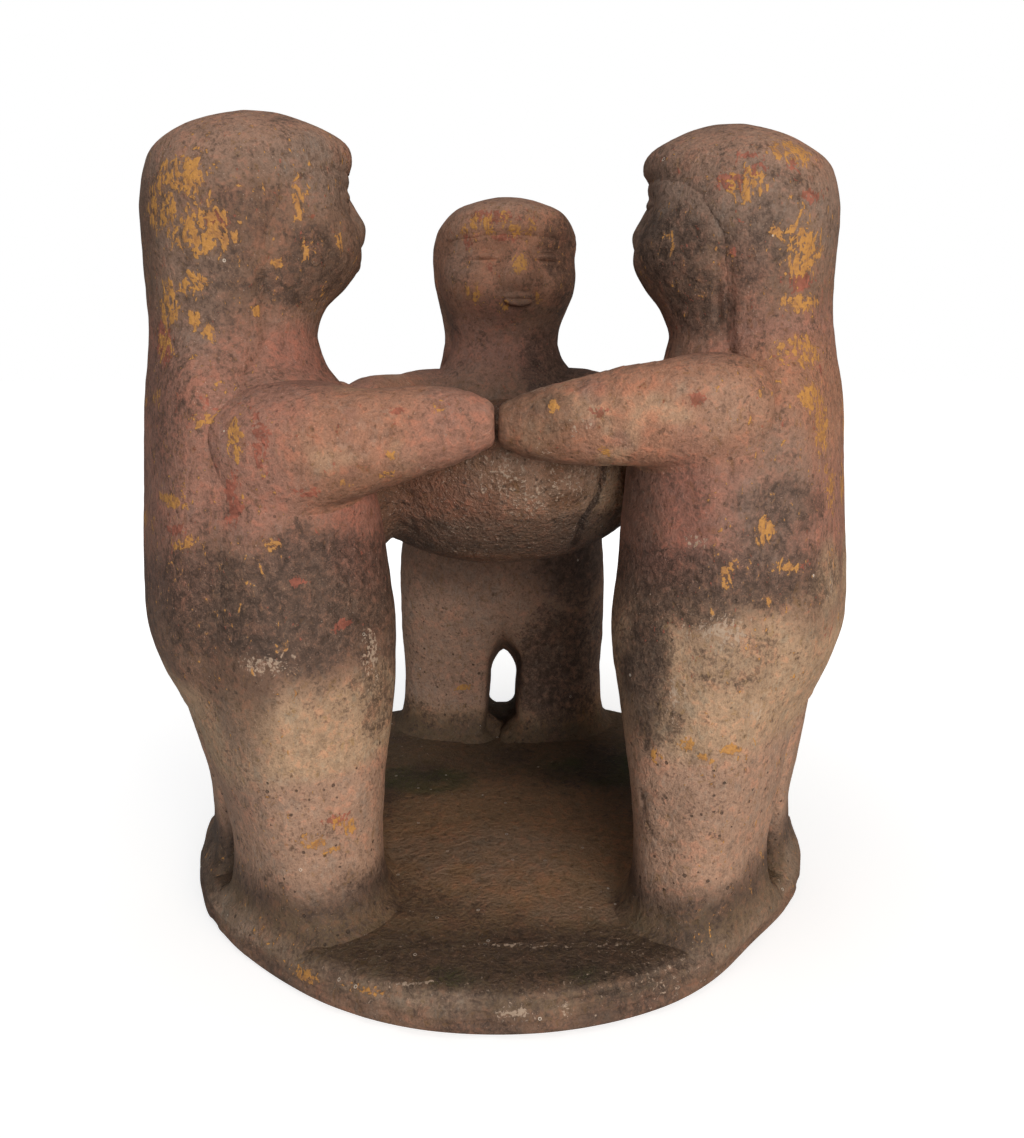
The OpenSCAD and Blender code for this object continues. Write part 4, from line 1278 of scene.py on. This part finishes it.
for name, f in FIGURES.items():
    f["head"], f["hair"] = head_roll(f), hair_roll(f)
    z, h = NECK_Z, f["skull"]
    start, aim = upright_rays((7, 0, z - 6), (8, 0, z + 0.72 * h), 14, 120, 44, 200)
    rows = model_piece(f, lambda p: lute(head_clay(p, f), (body_clay(p, f), 11.0)), start, aim, 0.9)
    make_piece(f"{name}_head_clay", f, [closed(f, rows)], face_material, "face_clay", f"{name}_head")
    start, aim = upright_rays((-13, 0, HAIR_END + 8), (-6, 0, z + 0.80 * h), 26, 150, 56, 220)
    rows = model_piece(f, hair_height(f), start, aim)
    make_piece(f"{name}_hair_clay", f, [closed(f, rows)], hair_material, "painted_hair_clay", f"{name}_hair")
    nose_z = z + f["nose"]
    start, aim = upright_rays((30, 0, nose_z - 2.5), (29, 0, nose_z + 6.5), 12, 30, 12, 60)
    start, aim = (turned(v.reshape(-1, 3), -f["turn"]).reshape(v.shape) for v in (start, aim))
    rows = model_piece(f, nose_height(f), start, aim, 0.9)
    make_piece(f"{name}_nose_clay", f, [closed(f, rows)], face_material, "face_clay", f"{name}_nose")
    eye_z, mouth_z = nose_z + EYES_UP, nose_z - MOUTH_DOWN
    front = FACE - 1.4 - EYE_IN * np.clip(((eye_z - z) / h - CHEEK_AT) / (BROW_AT - CHEEK_AT), 0, 1)
    lids = []
    for y in (-EYE_OUT, EYE_OUT):
        for up in (1.4, -1.4):
            lids.append(face_roll(f, y, eye_z + up, front, 5.2, 2.3, 1.5, -0.5 * up))
    make_piece(f"{name}_eyelids_clay", f, lids, face_material, "face_clay", f"{name}_eyelids")
    lips = [face_roll(f, 0, mouth_z + up, FACE - 0.3, 4.6, 2.8, 1.5, -0.4 * up) for up in (1.25, -1.25)]
    make_piece(f"{name}_lips_clay", f, lips, face_material, "face_clay", f"{name}_lips")


# ------------------------------------------------- floor, light and camera
# A plain pale floor that fades into the white behind, a soft light and a warmer one low on the right,
# weaker ones overhead and far to the left, and the camera just below the heads, looking down.

FLOOR = 6.0
floor_mesh = bpy.data.meshes.new("floor")
corners = [(-FLOOR, -FLOOR, 0), (FLOOR, -FLOOR, 0), (FLOOR, FLOOR, 0), (-FLOOR, FLOOR, 0)]
floor_mesh.from_pydata(corners, [], [(0, 1, 2, 3)])
floor = bpy.data.objects.new("floor", floor_mesh)
bpy.context.scene.collection.objects.link(floor)
floor_paint = bpy.data.materials.new("pale_floor")
floor_paint.use_nodes = True
tree = floor_paint.node_tree
paint = tree.nodes["Principled BSDF"]
paint.inputs["Base Color"].default_value = (0.62, 0.62, 0.62, 1)
paint.inputs["Roughness"].default_value = 0.9
paint.inputs["Emission Color"].default_value = (1, 1, 1, 1)
spot = put(tree, "ShaderNodeTexCoord").outputs["Object"]
away = put(tree, "ShaderNodeVectorMath", {0: spot}, operation="LENGTH").outputs["Value"]
seen = put(tree, "ShaderNodeLightPath").outputs["Is Camera Ray"]
lift = sums(tree, "MULTIPLY_ADD", fade(tree, 0.1, 0.42, away), 0.3, 0.7)
tree.links.new(sums(tree, "MULTIPLY", lift, seen), paint.inputs["Emission Strength"])
floor_mesh.materials.append(floor_paint)

for name, place, size, watts, colour in (
    ("window", (0.44, -1.50, 0.44), 0.8, 13.5, (1, 1, 1)),
    ("warm_side", (0.84, -1.08, 0.40), 0.5, 5.5, (1, 0.82, 0.64)),
    ("overhead", (-0.15, -0.05, 1.25), 0.9, 3.6, (1, 1, 1)),
    ("far_wall", (-1.3, -1.0, 0.5), 1.2, 2.0, (1, 1, 1)),
):
    lamp = bpy.data.lights.new(name, "AREA")
    lamp.size, lamp.energy, lamp.color = size, watts, colour
    lamp_object = bpy.data.objects.new(name, lamp)
    bpy.context.scene.collection.objects.link(lamp_object)
    lamp_object.location = place
    target = Vector((0, 0, 0.1))
    lamp_object.rotation_euler = (target - lamp_object.location).to_track_quat("-Z", "Y").to_euler()

world = bpy.data.worlds.new("studio")
bpy.context.scene.world = world
world.use_nodes = True
sky = world.node_tree
sky.nodes.clear()
seen = put(sky, "ShaderNodeLightPath").outputs["Is Camera Ray"]
glow = sums(sky, "MULTIPLY_ADD", seen, 0.88, 0.12)
backdrop = put(sky, "ShaderNodeBackground", {"Color": (1, 1, 1, 1), "Strength": glow})
put(sky, "ShaderNodeOutputWorld", {"Surface": backdrop.outputs[0]})

bpy.context.scene.view_settings.view_transform = "Standard"
camera_data = bpy.data.cameras.new("camera")
camera_data.sensor_fit = "VERTICAL"
camera_data.sensor_height = 36.0
camera_data.lens = 28.47
camera_data.clip_start = 0.01
camera = bpy.data.objects.new("camera", camera_data)
bpy.context.scene.collection.objects.link(camera)
camera.location = (0.0038, -0.286, 0.161)
camera.rotation_euler = (math.radians(90 - 13.2), 0, 0)
bpy.context.scene.camera = camera
